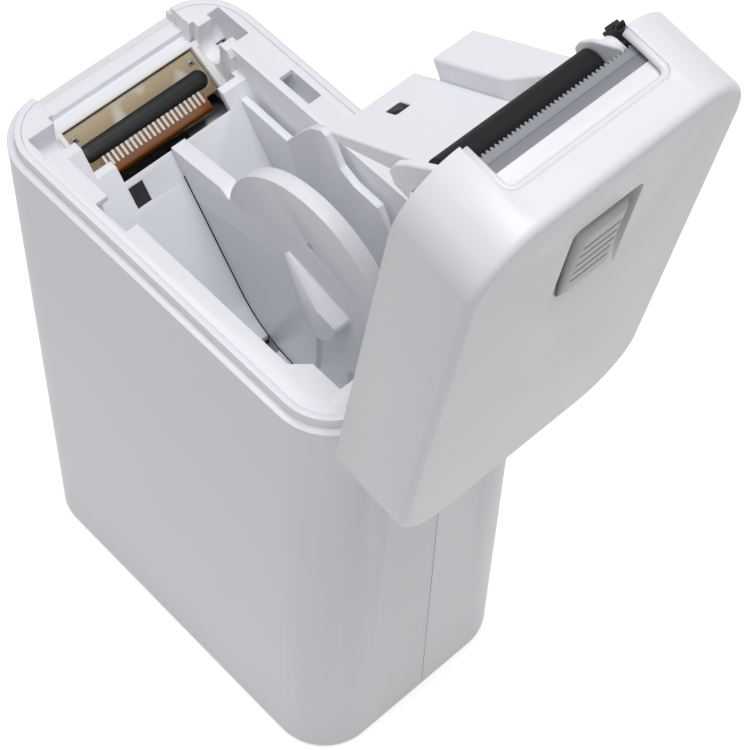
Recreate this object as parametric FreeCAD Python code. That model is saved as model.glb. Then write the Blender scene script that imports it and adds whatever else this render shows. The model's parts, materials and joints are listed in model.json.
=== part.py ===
import FreeCAD
import Part
import math
import os

# Portable label printer with a hinged cover. X runs across the paper, the hinge is at +Y.
# All sizes are in millimetres. Heights named "level" are measured from the outer lip of the case.

# Case
caseWidth = 80.0
caseLength = 135.0
caseHeight = 183.0
halfWidth = caseWidth / 2
halfLength = caseLength / 2
cornerRadius = 17.5
caseWall = 2.2
caseFoot = 1.0
footRound = 0.8
seamX = -2.3
seamGroove = 0.3
seamDepth = 0.4
ledgeHalf = halfWidth - 16.4
ledgeLevel = -2.4
ledgeStepLevel = -4.4
ledgeStepY = -halfLength + 6.7

# Bottom cover, mat and screws
coverGap = 0.2
coverBase = 1.4
coverThickness = 2.4
matWidth = 54.0
matLength = 104.0
matRadius = 8.0
matTop = 1.9
bossX = halfWidth - 9.0
bossY = halfLength - 9.0
bossRadius = 3.6
bossHeight = 14.0
screwRadius = 1.25
screwHeadRadius = 2.2
screwHeadHeight = 1.4
screwHeadBase = 1.6
screwLength = 10.0

# Rim frame and tray
rimInset = 2.2
rimTopWidth = 1.8
rimLevel = 3.4
rimBottomLevel = -6.0
rimShelfLevel = -4.0
rimShelfWidth = 4.6
trayInset = 4.1
trayLevel = 3.2
traySheet = 2.0

# Roll bay
bayLeft = -halfWidth + 13.4
bayRight = halfWidth - 10.4
bayRearHalf = halfWidth - 15.0
bayStepY = halfLength - 25.5
bayStepRun = 4.0
troughRun = 8.0
troughLevel = -26.5
troughRadius = (caseLength - 73.0) / 2
troughBackY = halfLength - 11.5 - troughRadius
troughY = troughBackY - troughRun
troughBottom = troughLevel - troughRadius
slopeAngle = 53.5
slopeTopLevel = -4.4

# Latch pockets
pocketInner = halfWidth - 10.9
pocketOuter = halfWidth - 6.4
pocketFront = -halfLength + 40.3
pocketRear = -halfLength + 52.1
pocketFloor = -5.6
pocketUndercut = 2.6
pocketWall = 1.4

# Print head, drawn level and then tilted down towards the roll
headTilt = 28.0
headLineY = -halfLength + 14.59
headLineLevel = -6.81
ceramicHalf = halfWidth - 17.8
ceramicFront = -3.4
ceramicRear = 9.5
ceramicThickness = 0.8
frameHalf = halfWidth - 15.1
frameTop = 1.6
frameUnder = -1.4
frameFront = -5.0
frameRear = 12.2
windowHalf = halfWidth - 17.5
windowFront = -3.79
sinkThickness = 2.5
sinkEarInner = ceramicHalf - 5.2
sinkEarWidth = 3.0
epoxyHalf = halfWidth - 18.9
epoxyFront = 3.2
epoxyRear = 7.0
epoxyHeight = 0.9
padCount = 21
padPitch = 1.7
padWidth = 0.9
padFront = 7.2
padRear = 9.2
padHeight = 0.12
headPinFront = 7.0
headPinUnder = -6.0
headPinRadius = 1.0
headPinGap = 0.05
flexHalf = 17.8
flexThickness = 0.3
openingHalf = halfWidth - 15.1
openingFront = -halfLength + 10.1
openingRear = -halfLength + 26.5
cheekThickness = 2.0
cheekLevel = -20.0
flexOpeningHalf = 18.5
flexOpeningRear = -halfLength + 32.5
beamFront = -halfLength + 11.5
beamRear = -halfLength + 17.5
beamLevel = -18.0
beamThickness = 2.0
springX = 14.0
springY = -halfLength + 14.5
springRadius = 2.0
springWire = 0.35
springTurns = 3.5
coilSteps = 10
wireSides = 6

# Platen roller, axis as it lies with the cover shut
platenY = -halfLength + 16.79
platenLevel = -2.66
platenRadius = 4.4
platenHalf = halfWidth - 18.1
shaftRadius = 1.5
shaftLeft = -halfWidth + 7.1
shaftRight = halfWidth - 10.0
bushRadius = 2.6
bushBore = 1.55
bushFlange = 3.3
bushFlangeWidth = 0.8
notchRadius = 4.3
gearNotchRadius = 6.2
notchOuter = halfWidth - 6.5
cradleFront = -halfLength + 9.5
cradleRear = -halfLength + 24.0
cradleLevel = -9.0

# Gear train in the left wall
gearModule = 0.6
toothTip = 0.10
toothPitch = 0.225
toothRoot = 0.34
gearAddendum = 0.9
gearDedendum = 1.15
platenTeeth = 16
idlerTeeth = 20
reductionSmallTeeth = 12
reductionLargeTeeth = 24
pinionTeeth = 12
outerGearLeft = -halfWidth + 7.6
outerGearWidth = 2.4
innerGearLeft = -halfWidth + 10.3
innerGearWidth = 1.2
gearBore = 1.05
gearPinRadius = 1.0
motorAngle = -60.0
plateLeft = -halfWidth + 12.1
plateThickness = 1.0
plateFront = -halfLength + 5.5
plateRear = -halfLength + 29.0
plateTopLevel = -9.0
plateBottomLevel = -46.0
motorRadius = 11.0
motorLength = 16.0
motorShaftRadius = 0.9

# Roll guides
fixedGuideLeft = -halfWidth + 15.2
fixedGuideRight = -halfWidth + 17.6
slideHalf = 2.4
discY = 19.0
discLevel = -10.0
discRadius = 30.5
guideGap = 0.5
slideTravel = 21.5
railY = 5.5
railLevel = troughBottom - 4.0
railRadius = 1.5
guideBottom = troughBottom - 4.5
railBore = 1.56
railBlockRadius = 3.6
footHalf = 2.0
tabY = -26.9
hubY = 23.0
hubLevel = -16.0
hubRadius = 8.0
hubReach = 4.6
hubLength = 26.0
hubTipRadius = 1.2
hubTipSetback = 11.5
hubTipLift = 9.5
hubLean = 0.86
hubDrop = 0.5
hubHoleY = 20.2
hubHoleLevel = 4.1
finWidth = 1.0

# Gap sensor
sensorX = 16.0
sensorWidth = 4.8
sensorAlong = 31.8
sensorLength = 6.4

# Hinge
hingeInset = 3.4
hingeLevel = -4.5
lidOpen = 97.66
hingeClear = 4.6
armInner = 15.0
armOuter = 20.0
armRadius = 2.9
armBore = 1.05
hingePinRadius = 1.0
armSlotGap = 0.3
armSlotLevel = -8.4
knuckleWidth = 3.0
knuckleFrontY = halfLength - 6.9
webHeight = 3.6

# Cover
lidGap = 0.3
lidTop = 24.0
lidWall = 1.9
lidRoof = 2.2
lidEdge = 2.2
notchTopLevel = 14.8
notchCorner = 3.0
rampHalf = 10.4
rampFront = -halfLength + 16.5
rampRear = -halfLength + 50.1
rampDepth = 5.0
rampPadHalf = 12.6
rampPadLevel = 16.4
slotHalf = 2.3
slotFront = -halfLength + 31.0
slotRear = -halfLength + 40.2

# Release slider and latch
sliderHalf = 6.4
sliderLength = 14.0
sliderStart = -halfLength + 28.1
sliderLift = 0.3
sliderThickness = 1.5
grooveCount = 5
groovePitch = 2.6
grooveWidth = 1.3
grooveDepth = 0.7
stemHalf = 2.0
stemFront = -halfLength + 31.5
stemRear = -halfLength + 36.7
latchTop = 15.6
latchThickness = 2.2
tongueHalf = 5.0
latchBarFront = -halfLength + 43.5
latchBarRear = -halfLength + 48.0
hookInner = halfWidth - 10.0
hookOuter = halfWidth - 7.2
hookBottom = -3.8
noseTip = -halfLength + 39.3
noseTop = 0.6
latchSpringRear = -halfLength + 59.5
latchCoilRadius = 0.8
latchCoilWire = 0.2
latchCoilTurns = 6

# Cover chassis, tear bar and paper chute
chassisLevel = 13.0
chassisThickness = 1.6
chassisHalf = halfWidth - 6.4
chassisFront = -halfLength + 4.9
chassisRear = -halfLength + 28.0
cheekInner = halfWidth - 14.5
cheekOuter = halfWidth - 11.5
cheekEnd = 3.7
insertFront = -halfLength + 1.1
insertRear = -halfLength + 2.6
insertBottom = 8.6
tearFront = -halfLength + 2.6
tearRear = -halfLength + 3.3
tearHalf = halfWidth - 17.2
tearTip = 3.2
tearTeeth = 38
tearToothDepth = 0.9
chuteOffset = 7.0
chuteThickness = 1.6
chuteTipLeft = -21.8
chuteTipRight = -3.2
chuteTopLeft = -halfWidth + 16.0
chuteTopRight = halfWidth - 15.5
chuteStart = -16.8
chuteKnee = 4.5
chuteLength = 34.0
windowAlong = 14.0
windowSize = 6.0
windowLeft = chuteTipLeft + 3.8

# Electronics
boardBase = 12.0
boardThickness = 1.6
boardLeft = -halfWidth + 6.0
boardRight = halfWidth - 12.0
boardFront = -halfLength + 17.5
boardRear = 10.0
postRadius = 3.0
usbY = -20.0
usbWidth = 9.0
usbHeight = 3.2
usbDepth = 7.4
usbWall = 0.3
usbGap = 0.4
cellRadius = 9.2
cellLength = 65.0
cellY = 35.0
cellRib = 1.6
buttonX = 14.0
buttonZ = caseHeight - 33.0
buttonRadius = 4.0
buttonGap = 0.3
buttonProud = 0.8
buttonFlange = 5.2
lightZ = caseHeight - 21.0
lightRadius = 1.2
switchBoardY = -halfLength + 7.3
switchBoardWidth = 14.0

hingeY = halfLength - hingeInset


def vec(x, y, z):
    return FreeCAD.Vector(x, y, z)


def block(x0, x1, y0, y1, z0, z1):
    return Part.makeBox(x1 - x0, y1 - y0, z1 - z0, vec(x0, y0, z0))


def rodX(y, z, radius, x0, x1):
    return Part.makeCylinder(radius, x1 - x0, vec(x0, y, z), vec(1, 0, 0))


def rodY(x, z, radius, y0, y1):
    return Part.makeCylinder(radius, y1 - y0, vec(x, y0, z), vec(0, 1, 0))


def rodZ(x, y, radius, z0, z1):
    return Part.makeCylinder(radius, z1 - z0, vec(x, y, z0))


def join(shapes):
    result = shapes[0]
    for shape in shapes[1:]:
        result = result.fuse(shape)
    return result.removeSplitter()


def prismX(points, x0, x1):
    corners = [vec(x0, y, z) for y, z in points]
    face = Part.Face(Part.makePolygon(corners + [corners[0]]))
    return face.extrude(vec(x1 - x0, 0, 0))


def prismZ(points, z0, z1):
    corners = [vec(x, y, z0) for x, y in points]
    face = Part.Face(Part.makePolygon(corners + [corners[0]]))
    return face.extrude(vec(0, 0, z1 - z0))


def roundedPlan(inset, z0, z1):
    # Rounded rectangle of the case outline, moved in by inset.
    radius = cornerRadius - inset
    body = block(inset - halfWidth, halfWidth - inset, inset - halfLength, halfLength - inset, z0, z1)
    upright = [edge for edge in body.Edges if abs(edge.tangentAt(edge.FirstParameter).z) > 0.9]
    return body.makeFillet(radius, upright)


def padPlan(width, length, radius, z0, z1):
    body = block(-width / 2, width / 2, -length / 2, length / 2, z0, z1)
    upright = [edge for edge in body.Edges if abs(edge.tangentAt(edge.FirstParameter).z) > 0.9]
    return body.makeFillet(radius, upright)


def bothSides(shape):
    return [shape, shape.mirror(vec(0, 0, 0), vec(1, 0, 0))]


def rim(level):
    return caseHeight + level


def openLid(shape):
    # Swings a piece drawn with the cover shut to its open place.
    turned = shape.copy()
    turned.rotate(vec(0, hingeY, rim(hingeLevel)), vec(1, 0, 0), -lidOpen)
    return turned


def headPlace(shape):
    # Tilts a piece drawn level about the heater line.
    placed = shape.copy()
    placed.rotate(vec(0, 0, 0), vec(1, 0, 0), -headTilt)
    placed.translate(vec(0, headLineY, rim(headLineLevel)))
    return placed


def headPoint(along, up):
    tilt = math.radians(headTilt)
    y = headLineY + along * math.cos(tilt) + up * math.sin(tilt)
    z = rim(headLineLevel) - along * math.sin(tilt) + up * math.cos(tilt)
    return y, z


def coil(x, y, z0, z1, radius, wire, turns):
    rise = z1 - z0 - 2 * wire
    count = round(turns * coilSteps)
    path = []
    for index in range(count + 1):
        angle = 2 * math.pi * index / coilSteps
        height = z0 + wire + rise * index / count
        path.append(vec(x + radius * math.cos(angle), y + radius * math.sin(angle), height))
    along = (path[1] - path[0]).normalize()
    side = along.cross(vec(0, 0, 1)).normalize()
    up = side.cross(along)
    ring = []
    for index in range(wireSides):
        angle = 2 * math.pi * (index + 0.5) / wireSides
        ring.append(path[0] + side * (wire * math.cos(angle)) + up * (wire * math.sin(angle)))
    section = Part.makePolygon(ring + [ring[0]])
    return Part.makePolygon(path).makePipeShell([section], True, False, 1)


def gearOutline(teeth, phase):
    pitch = gearModule * teeth / 2
    tip = pitch + gearAddendum * gearModule
    root = pitch - gearDedendum * gearModule
    step = 2 * math.pi / teeth
    points = []
    for index in range(teeth):
        middle = math.radians(phase) + index * step
        flank = [(root, -toothRoot), (pitch, -toothPitch), (tip, -toothTip)]
        for radius, share in flank + [(radius, -share) for radius, share in reversed(flank)]:
            angle = middle + share * step
            points.append((radius * math.cos(angle), radius * math.sin(angle)))
    return points


def gear(teeth, phase, y, z, x0, width, bore):
    points = [(y + py, z + pz) for py, pz in gearOutline(teeth, phase)]
    wheel = prismX(points, x0, x0 + width)
    return wheel.cut(rodX(y, z, bore, x0 - 1, x0 + width + 1))


def pitchRadius(teeth):
    return gearModule * teeth / 2


def idlerCentre():
    return platenY, rim(platenLevel) - pitchRadius(platenTeeth) - pitchRadius(idlerTeeth)


def reductionCentre():
    y, z = idlerCentre()
    return y, z - pitchRadius(idlerTeeth) - pitchRadius(reductionSmallTeeth)


def motorCentre():
    y, z = reductionCentre()
    reach = pitchRadius(reductionLargeTeeth) + pitchRadius(pinionTeeth)
    angle = math.radians(motorAngle)
    return y + reach * math.cos(angle), z + reach * math.sin(angle)


def slopePoint(along, offset):
    # A point on the bay's front slope, along it from the rim and off it into the bay.
    angle = math.radians(slopeAngle)
    startY = troughY - troughRadius * math.sin(angle)
    startZ = troughLevel - troughRadius * math.cos(angle)
    topRun = (slopeTopLevel - startZ) / math.sin(angle)
    run = topRun - along
    y = startY - run * math.cos(angle) + offset * math.sin(angle)
    z = startZ + run * math.sin(angle) + offset * math.cos(angle)
    return y, rim(z)


def bayFace(grow, x, topLevel):
    # Side profile of the roll bay, grown outwards by the sheet thickness.
    radius = troughRadius + grow
    angle = math.radians(slopeAngle)
    level = rim(troughLevel)
    tangentY = troughY - radius * math.sin(angle)
    tangentZ = level - radius * math.cos(angle)
    rise = rim(topLevel) - tangentZ
    topY = tangentY - rise / math.tan(angle)
    middle = math.radians((90 - slopeAngle) / 2 + slopeAngle)
    frontMid = vec(x, troughY - radius * math.cos(middle), level - radius * math.sin(middle))
    frontEnd = vec(x, troughY, level - radius)
    rearStart = vec(x, troughBackY, level - radius)
    corner = math.radians(45)
    rearMid = vec(x, troughBackY + radius * math.cos(corner), level - radius * math.sin(corner))
    rearEnd = vec(x, troughBackY + radius, level)
    top = vec(x, topY, rim(topLevel))
    tangent = vec(x, tangentY, tangentZ)
    topRear = vec(x, troughBackY + radius, rim(topLevel))
    arcFront = Part.Arc(tangent, frontMid, frontEnd).toShape()
    arcRear = Part.Arc(rearStart, rearMid, rearEnd).toShape()
    edges = [
        Part.makeLine(top, tangent),
        arcFront,
        Part.makeLine(frontEnd, rearStart),
        arcRear,
        Part.makeLine(rearEnd, topRear),
        Part.makeLine(topRear, top),
    ]
    return Part.Face(Part.Wire(edges))


def baySolid(grow, topLevel):
    rearHalf = bayRearHalf + grow
    left = bayLeft - grow
    right = bayRight + grow
    deep = bayFace(grow, left, topLevel).extrude(vec(right - left, 0, 0))
    low = rim(troughLevel - troughRadius - 20)
    high = rim(topLevel + 1)
    stepY = bayStepY + grow / 2
    far = stepY + bayStepRun
    rearEnd = halfLength
    plan = [
        (left, -halfLength),
        (right, -halfLength),
        (right, stepY),
        (rearHalf, far),
        (rearHalf, rearEnd),
        (-rearHalf, rearEnd),
        (-rearHalf, far),
        (left, stepY),
    ]
    return deep.common(prismZ(plan, low, high))


def caseTube():
    outer = roundedPlan(0, caseFoot, caseHeight)
    lower = [edge for edge in outer.Edges if edge.BoundBox.ZMax < caseFoot + 0.01]
    outer = outer.makeFillet(footRound, lower)
    tube = outer.cut(roundedPlan(caseWall, caseFoot - 1, caseHeight + 1))
    bosses = []
    for sx in (-1, 1):
        for sy in (-1, 1):
            boss = rodZ(sx * bossX, sy * bossY, bossRadius, coverBase + coverThickness, bossHeight)
            hole = rodZ(sx * bossX, sy * bossY, screwRadius, 0, bossHeight - 1)
            bosses.append(boss.common(roundedPlan(caseWall / 2, 0, caseHeight)).cut(hole))
    tube = join([tube] + bosses)
    tube = tube.cut(hingeRelief())
    ledge = block(-ledgeHalf, ledgeHalf, -halfLength - 1, -halfLength + caseWall + 1, rim(ledgeLevel), rim(5))
    tube = tube.cut(ledge)
    for sy in (-1, 1):
        y = sy * (halfLength + seamDepth)
        groove = block(
            seamX - seamGroove / 2,
            seamX + seamGroove / 2,
            min(y, y - sy * 2 * seamDepth),
            max(y, y - sy * 2 * seamDepth),
            0,
            caseHeight + 1,
        )
        tube = tube.cut(groove)
    return tube


def hingeRelief():
    # Room behind the hinge line: a round lip, and slots for the two cover arms.
    behind = block(-halfWidth, halfWidth, hingeY, halfLength + 2, rim(hingeLevel), caseHeight + 5)
    behind = behind.cut(rodX(hingeY, rim(hingeLevel), hingeClear, -halfWidth - 1, halfWidth + 1))
    inner = block(-halfWidth, halfWidth, hingeY - 1, halfLength - rimInset, rim(hingeLevel), caseHeight + 6)
    return join([behind.cut(inner), armSlots()])


def armSlots():
    slot = block(
        armInner - armSlotGap,
        armOuter + armSlotGap,
        hingeY - armRadius - armSlotGap,
        halfLength + 2,
        rim(armSlotLevel),
        rim(12),
    )
    return join(bothSides(slot))


def caseRight():
    outside = -halfLength - 1
    inside = -halfLength + caseWall + 1
    shell = caseTube().common(block(seamX, halfWidth + 1, outside, halfLength + 1, 0, caseHeight + 1))
    shell = shell.cut(rodY(buttonX, buttonZ, buttonRadius + buttonGap, outside, inside))
    shell = shell.cut(rodY(buttonX, lightZ, lightRadius, outside, inside))
    wallY = -halfLength + caseWall
    posts = [
        block(buttonX - switchBoardWidth / 2, buttonX + switchBoardWidth / 2, wallY, switchBoardY, z, z + 2)
        for z in (buttonZ - 9, lightZ + 4)
    ]
    return join([shell] + posts)


def caseLeft():
    half = block(-halfWidth - 1, seamX, -halfLength - 1, halfLength + 1, 0, caseHeight + 1)
    shell = caseTube().common(half)
    return shell.cut(usbMouth(usbGap))


def usbMouth(grow):
    base = boardBase + boardThickness
    mouth = block(
        -halfWidth - 1,
        -halfWidth + caseWall + 1,
        usbY - usbWidth / 2 - grow,
        usbY + usbWidth / 2 + grow,
        base - grow,
        base + usbHeight + grow,
    )
    long = [edge for edge in mouth.Edges if abs(edge.tangentAt(edge.FirstParameter).x) > 0.9]
    return mouth.makeFillet(usbHeight / 2, long)


def bottomCover():
    top = coverBase + coverThickness
    cover = roundedPlan(caseWall + coverGap, coverBase, top)
    cover = cover.cut(padPlan(matWidth, matLength, matRadius, coverBase - 1, matTop))
    additions = []
    for x in (boardLeft + 5, boardRight - 5):
        for y in (boardFront + 5, boardRear - 5):
            additions.append(rodZ(x, y, postRadius, top, boardBase))
    for x in (-cellRadius - 0.2, cellRadius + 0.2):
        ring = rodZ(x, cellY, cellRadius + cellRib, top, top + 8)
        additions.append(ring)
    cover = join([cover] + additions)
    for x in (-cellRadius - 0.2, cellRadius + 0.2):
        cover = cover.cut(rodZ(x, cellY, cellRadius, top, top + 9))
    for sx in (-1, 1):
        for sy in (-1, 1):
            x = sx * bossX
            y = sy * bossY
            cover = cover.cut(rodZ(x, y, screwRadius, 0, top + 1))
            cover = cover.cut(rodZ(x, y, screwHeadRadius, 0, screwHeadBase + screwHeadHeight))
    return cover


def footMat():
    mat = padPlan(matWidth, matLength, matRadius, 0, matTop)
    for index in range(-3, 4):
        y = index * matLength / 8
        mat = mat.cut(block(-matWidth / 2 + 4, matWidth / 2 - 4, y - 0.5, y + 0.5, -1, 0.4))
    return mat


def coverScrews():
    screws = []
    for sx in (-1, 1):
        for sy in (-1, 1):
            x = sx * bossX
            y = sy * bossY
            top = screwHeadBase + screwHeadHeight
            head = rodZ(x, y, screwHeadRadius, screwHeadBase, top)
            head = head.cut(block(x - 1.4, x + 1.4, y - 0.3, y + 0.3, screwHeadBase - 1, screwHeadBase + 0.6))
            head = head.cut(block(x - 0.3, x + 0.3, y - 1.4, y + 1.4, screwHeadBase - 1, screwHeadBase + 0.6))
            screws.append(head.fuse(rodZ(x, y, screwRadius, top, top + screwLength)))
    return Part.makeCompound(screws)


def rimFrame():
    wall = roundedPlan(rimInset, rim(rimBottomLevel), rim(rimLevel))
    wall = wall.cut(roundedPlan(rimInset + rimTopWidth, rim(rimBottomLevel) - 1, rim(rimLevel) + 1))
    shelf = roundedPlan(rimInset, rim(rimBottomLevel), rim(rimShelfLevel))
    shelf = shelf.cut(roundedPlan(rimInset + rimShelfWidth, rim(rimBottomLevel) - 1, rim(rimLevel)))
    shelf = shelf.cut(block(bayLeft - 2.1, bayRight + 2.1, -halfLength, halfLength, 0, caseHeight + 9))
    side = notchOuter + 1.7
    shelf = shelf.cut(block(-side, side, cradleFront - 0.2, pocketRear + pocketWall + 0.2, 0, caseHeight + 9))
    front = block(-ledgeHalf - 2, ledgeHalf + 2, -halfLength, openingFront, rim(rimBottomLevel) - 1, rim(9))
    shelf = shelf.cut(front)
    frame = join([wall, shelf])
    low = rim(rimBottomLevel) - 1
    frame = frame.cut(block(-ledgeHalf, ledgeHalf, -halfLength, openingFront, low, rim(9)))
    frame = join([frame] + knuckles()).common(roundedPlan(rimInset, rim(-30), rim(20)))
    frame = frame.cut(armSlots())
    return frame.cut(hingePinHoles())


def knuckles():
    back = halfLength - rimInset
    bottom = rim(armSlotLevel) - webHeight
    outer = armOuter + armSlotGap + knuckleWidth
    pieces = [block(-outer, outer, back - rimTopWidth, back, bottom, rim(armSlotLevel))]
    for x0 in (armInner - armSlotGap - knuckleWidth, armOuter + armSlotGap):
        ear = block(x0, x0 + knuckleWidth, knuckleFrontY, back, bottom, rim(trayLevel))
        pieces += bothSides(ear)
    return pieces


def knuckleRoom():
    room = block(
        armInner - armSlotGap - knuckleWidth,
        armOuter + armSlotGap + knuckleWidth,
        knuckleFrontY,
        halfLength,
        rim(armSlotLevel) - webHeight,
        rim(9),
    )
    return bothSides(room)


def hingePinHoles():
    inner = armInner - armSlotGap - knuckleWidth + 0.8
    outer = armOuter + armSlotGap + knuckleWidth
    return join(bothSides(rodX(hingeY, rim(hingeLevel), hingePinRadius, inner, outer)))


def hingePins():
    inner = armInner - armSlotGap - knuckleWidth + 0.8
    outer = armOuter + armSlotGap + knuckleWidth
    return Part.makeCompound(bothSides(rodX(hingeY, rim(hingeLevel), hingePinRadius, inner, outer)))


def tray():
    plate = roundedPlan(trayInset, rim(rimShelfLevel), rim(trayLevel))
    plate = plate.cut(roundedPlan(trayInset + traySheet, rim(rimShelfLevel) - 1, rim(trayLevel) - traySheet))
    parts = [plate, baySolid(traySheet, trayLevel - 0.1)]
    parts += trayCheeks()
    parts += trayCradles()
    parts.append(ledgeBlock())
    parts += pocketShells()
    parts += railBrackets()
    body = join(parts)
    body = body.cut(baySolid(0, trayLevel + 9))
    body = body.cut(headOpening())
    body = body.cut(trayFrontCut())
    for cutter in pocketCuts() + platenNotches() + guideSlots() + knuckleRoom():
        body = body.cut(cutter)
    body = body.cut(sensorHole())
    return join([body, springBeam()]).cut(headPinHole())


def trayCheeks():
    inner = openingHalf
    cheek = block(
        inner,
        inner + cheekThickness,
        openingFront - traySheet,
        openingRear + 4,
        rim(cheekLevel),
        rim(trayLevel) - 0.1,
    )
    return bothSides(cheek)


def trayCradles():
    top = rim(trayLevel) - 0.1
    cradle = block(openingHalf, notchOuter + 1.5, cradleFront, cradleRear, rim(cradleLevel), top)
    return bothSides(cradle.common(roundedPlan(trayInset, rim(-30), rim(20))))


def ledgeBlock():
    front = -halfLength + caseWall
    base = block(-ledgeHalf, ledgeHalf, front, openingFront, rim(ledgeLevel) - 4, rim(ledgeLevel))
    base = base.common(roundedPlan(caseWall, rim(-20), rim(20)))
    step = block(-ledgeHalf, ledgeHalf, ledgeStepY, openingFront + 1, rim(ledgeStepLevel), rim(0))
    sides = block(
        ledgeHalf,
        ledgeHalf + traySheet,
        -halfLength + 5.5,
        openingFront,
        rim(ledgeLevel) - 4,
        rim(trayLevel) - 0.1,
    )
    return join([base.cut(step)] + bothSides(sides))


def trayFrontCut():
    low = rim(ledgeLevel)
    over = block(-ledgeHalf, ledgeHalf, -halfLength, openingFront, low, rim(9))
    step = block(-ledgeHalf, ledgeHalf, ledgeStepY, openingFront, rim(ledgeStepLevel), rim(9))
    return join([over, step])


def headOpening():
    hole = block(-openingHalf, openingHalf, openingFront, openingRear, rim(cheekLevel) - 1, rim(9))
    notch = block(-flexOpeningHalf, flexOpeningHalf, openingRear - 1, flexOpeningRear, rim(-20), rim(9))
    above = block(bayLeft, openingHalf, openingRear - 1, troughY, rim(slopeTopLevel), rim(9))
    return join([hole, notch, above])


def springBeam():
    return block(
        -openingHalf,
        openingHalf,
        beamFront,
        beamRear,
        rim(beamLevel) - beamThickness,
        rim(beamLevel),
    )


def pocketShells():
    shell = block(
        pocketInner - pocketWall,
        pocketOuter + pocketWall,
        pocketFront - pocketUndercut - pocketWall,
        pocketRear + pocketWall,
        rim(pocketFloor) - pocketWall,
        rim(trayLevel) - 0.1,
    )
    return bothSides(shell)


def pocketCuts():
    mouth = block(pocketInner, pocketOuter, pocketFront, pocketRear, rim(pocketFloor), rim(9))
    under = block(
        pocketInner,
        pocketOuter,
        pocketFront - pocketUndercut,
        pocketRear,
        rim(pocketFloor),
        rim(trayLevel) - traySheet,
    )
    return bothSides(join([mouth, under]))


def platenNotches():
    y = platenY
    z = rim(platenLevel)
    bush = rodX(y, z, notchRadius, openingHalf - 1, notchOuter)
    mouth = block(openingHalf - 1, notchOuter, y - notchRadius, y + notchRadius, z, rim(9))
    wide = rodX(y, z, gearNotchRadius, -notchOuter, outerGearLeft + outerGearWidth + 0.6)
    wideMouth = block(
        -notchOuter,
        outerGearLeft + outerGearWidth + 0.6,
        y - gearNotchRadius,
        y + gearNotchRadius,
        z,
        rim(9),
    )
    idlerY, idlerZ = idlerCentre()
    reach = pitchRadius(idlerTeeth) + gearModule + 0.5
    idlerRoom = rodX(idlerY, idlerZ, reach, -notchOuter, outerGearLeft + outerGearWidth + 0.6)
    return bothSides(join([bush, mouth])) + [join([wide, wideMouth, idlerRoom])]


def guideSlots():
    left = -slideHalf - 0.6
    right = slideHalf + slideTravel + 0.6
    reach = footHalf + 0.5
    low = rim(troughBottom - 4.5)
    main = block(left, right, railY - reach, railY + reach, low, rim(troughBottom + 7.5))
    y, z = slopePoint(slopeRun(tabY), 0)
    tab = block(left, right, y - 2.0, y + 2.0, z - 6, z + 6)
    return [main, tab]


def slopeRun(y):
    firstY = slopePoint(0, 0)[0]
    return (y - firstY) / math.cos(math.radians(slopeAngle))


def railBrackets():
    top = rim(troughLevel - troughRadius) + 3
    bottom = rim(railLevel) - 4
    pieces = []
    for x0 in (bayLeft - traySheet, bayRight):
        ear = block(x0, x0 + traySheet, railY - 4, railY + 4, bottom, top)
        pieces.append(ear.cut(rodX(railY, rim(railLevel), railRadius, x0 - 1, x0 + traySheet + 1)))
    return pieces


def sensorHole():
    return sensorBlock(sensorWidth, sensorLength, -traySheet - 1, 1)


def sensorBlock(width, length, low, high):
    points = [
        slopePoint(sensorMiddle() - length / 2, low),
        slopePoint(sensorMiddle() + length / 2, low),
        slopePoint(sensorMiddle() + length / 2, high),
        slopePoint(sensorMiddle() - length / 2, high),
    ]
    return prismX(points, sensorX - width / 2, sensorX + width / 2)


def sensorMiddle():
    return slopeRun(-sensorAlong)


def gapSensor():
    return sensorBlock(sensorWidth, sensorLength, -traySheet - 0.6, -0.4)


def headPinHole():
    y, z = headPoint(headPinFront, headPinUnder)
    return rodX(y, z, headPinRadius, -openingHalf - cheekThickness, openingHalf + cheekThickness)


def headPin():
    return headPinHole()


def headFrame():
    plate = block(-frameHalf, frameHalf, frameFront, frameRear, frameUnder, frameTop)
    window = block(-windowHalf, windowHalf, windowFront, frameRear + 1, frameUnder - 1, frameTop + 1)
    placed = headPlace(plate.cut(window))
    inside = block(-openingHalf, openingHalf, openingFront, openingRear, rim(-30), rim(9))
    placed = placed.common(inside)
    for cutter in platenNotches():
        placed = placed.cut(cutter)
    return placed


def headCeramic():
    return headPlace(block(-ceramicHalf, ceramicHalf, ceramicFront, ceramicRear, -ceramicThickness, 0))


def headEpoxy():
    bead = block(-epoxyHalf, epoxyHalf, epoxyFront, epoxyRear, 0, epoxyHeight)
    top = [edge for edge in bead.Edges if edge.BoundBox.ZMin > epoxyHeight - 0.01]
    return headPlace(bead.makeFillet(epoxyHeight * 0.8, top))


def headPads():
    pads = []
    for index in range(padCount):
        x = (index - (padCount - 1) / 2) * padPitch
        pads.append(block(x - padWidth / 2, x + padWidth / 2, padFront, padRear, 0, padHeight))
    return headPlace(Part.makeCompound(pads))


def headSink():
    bottom = -ceramicThickness - sinkThickness
    plate = block(-ceramicHalf, ceramicHalf, ceramicFront, ceramicRear, bottom, -ceramicThickness)
    ears = []
    for index in range(2):
        x0 = -sinkEarInner - sinkEarWidth if index == 0 else sinkEarInner
        ear = block(x0, x0 + sinkEarWidth, headPinFront - 2.5, headPinFront + 2.5, headPinUnder, bottom)
        ears.append(ear.fuse(rodX(headPinFront, headPinUnder, 2.5, x0, x0 + sinkEarWidth)))
    sink = join([plate] + ears)
    bore = rodX(headPinFront, headPinUnder, headPinRadius + headPinGap, -ceramicHalf, ceramicHalf)
    return headPlace(sink.cut(bore))


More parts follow.
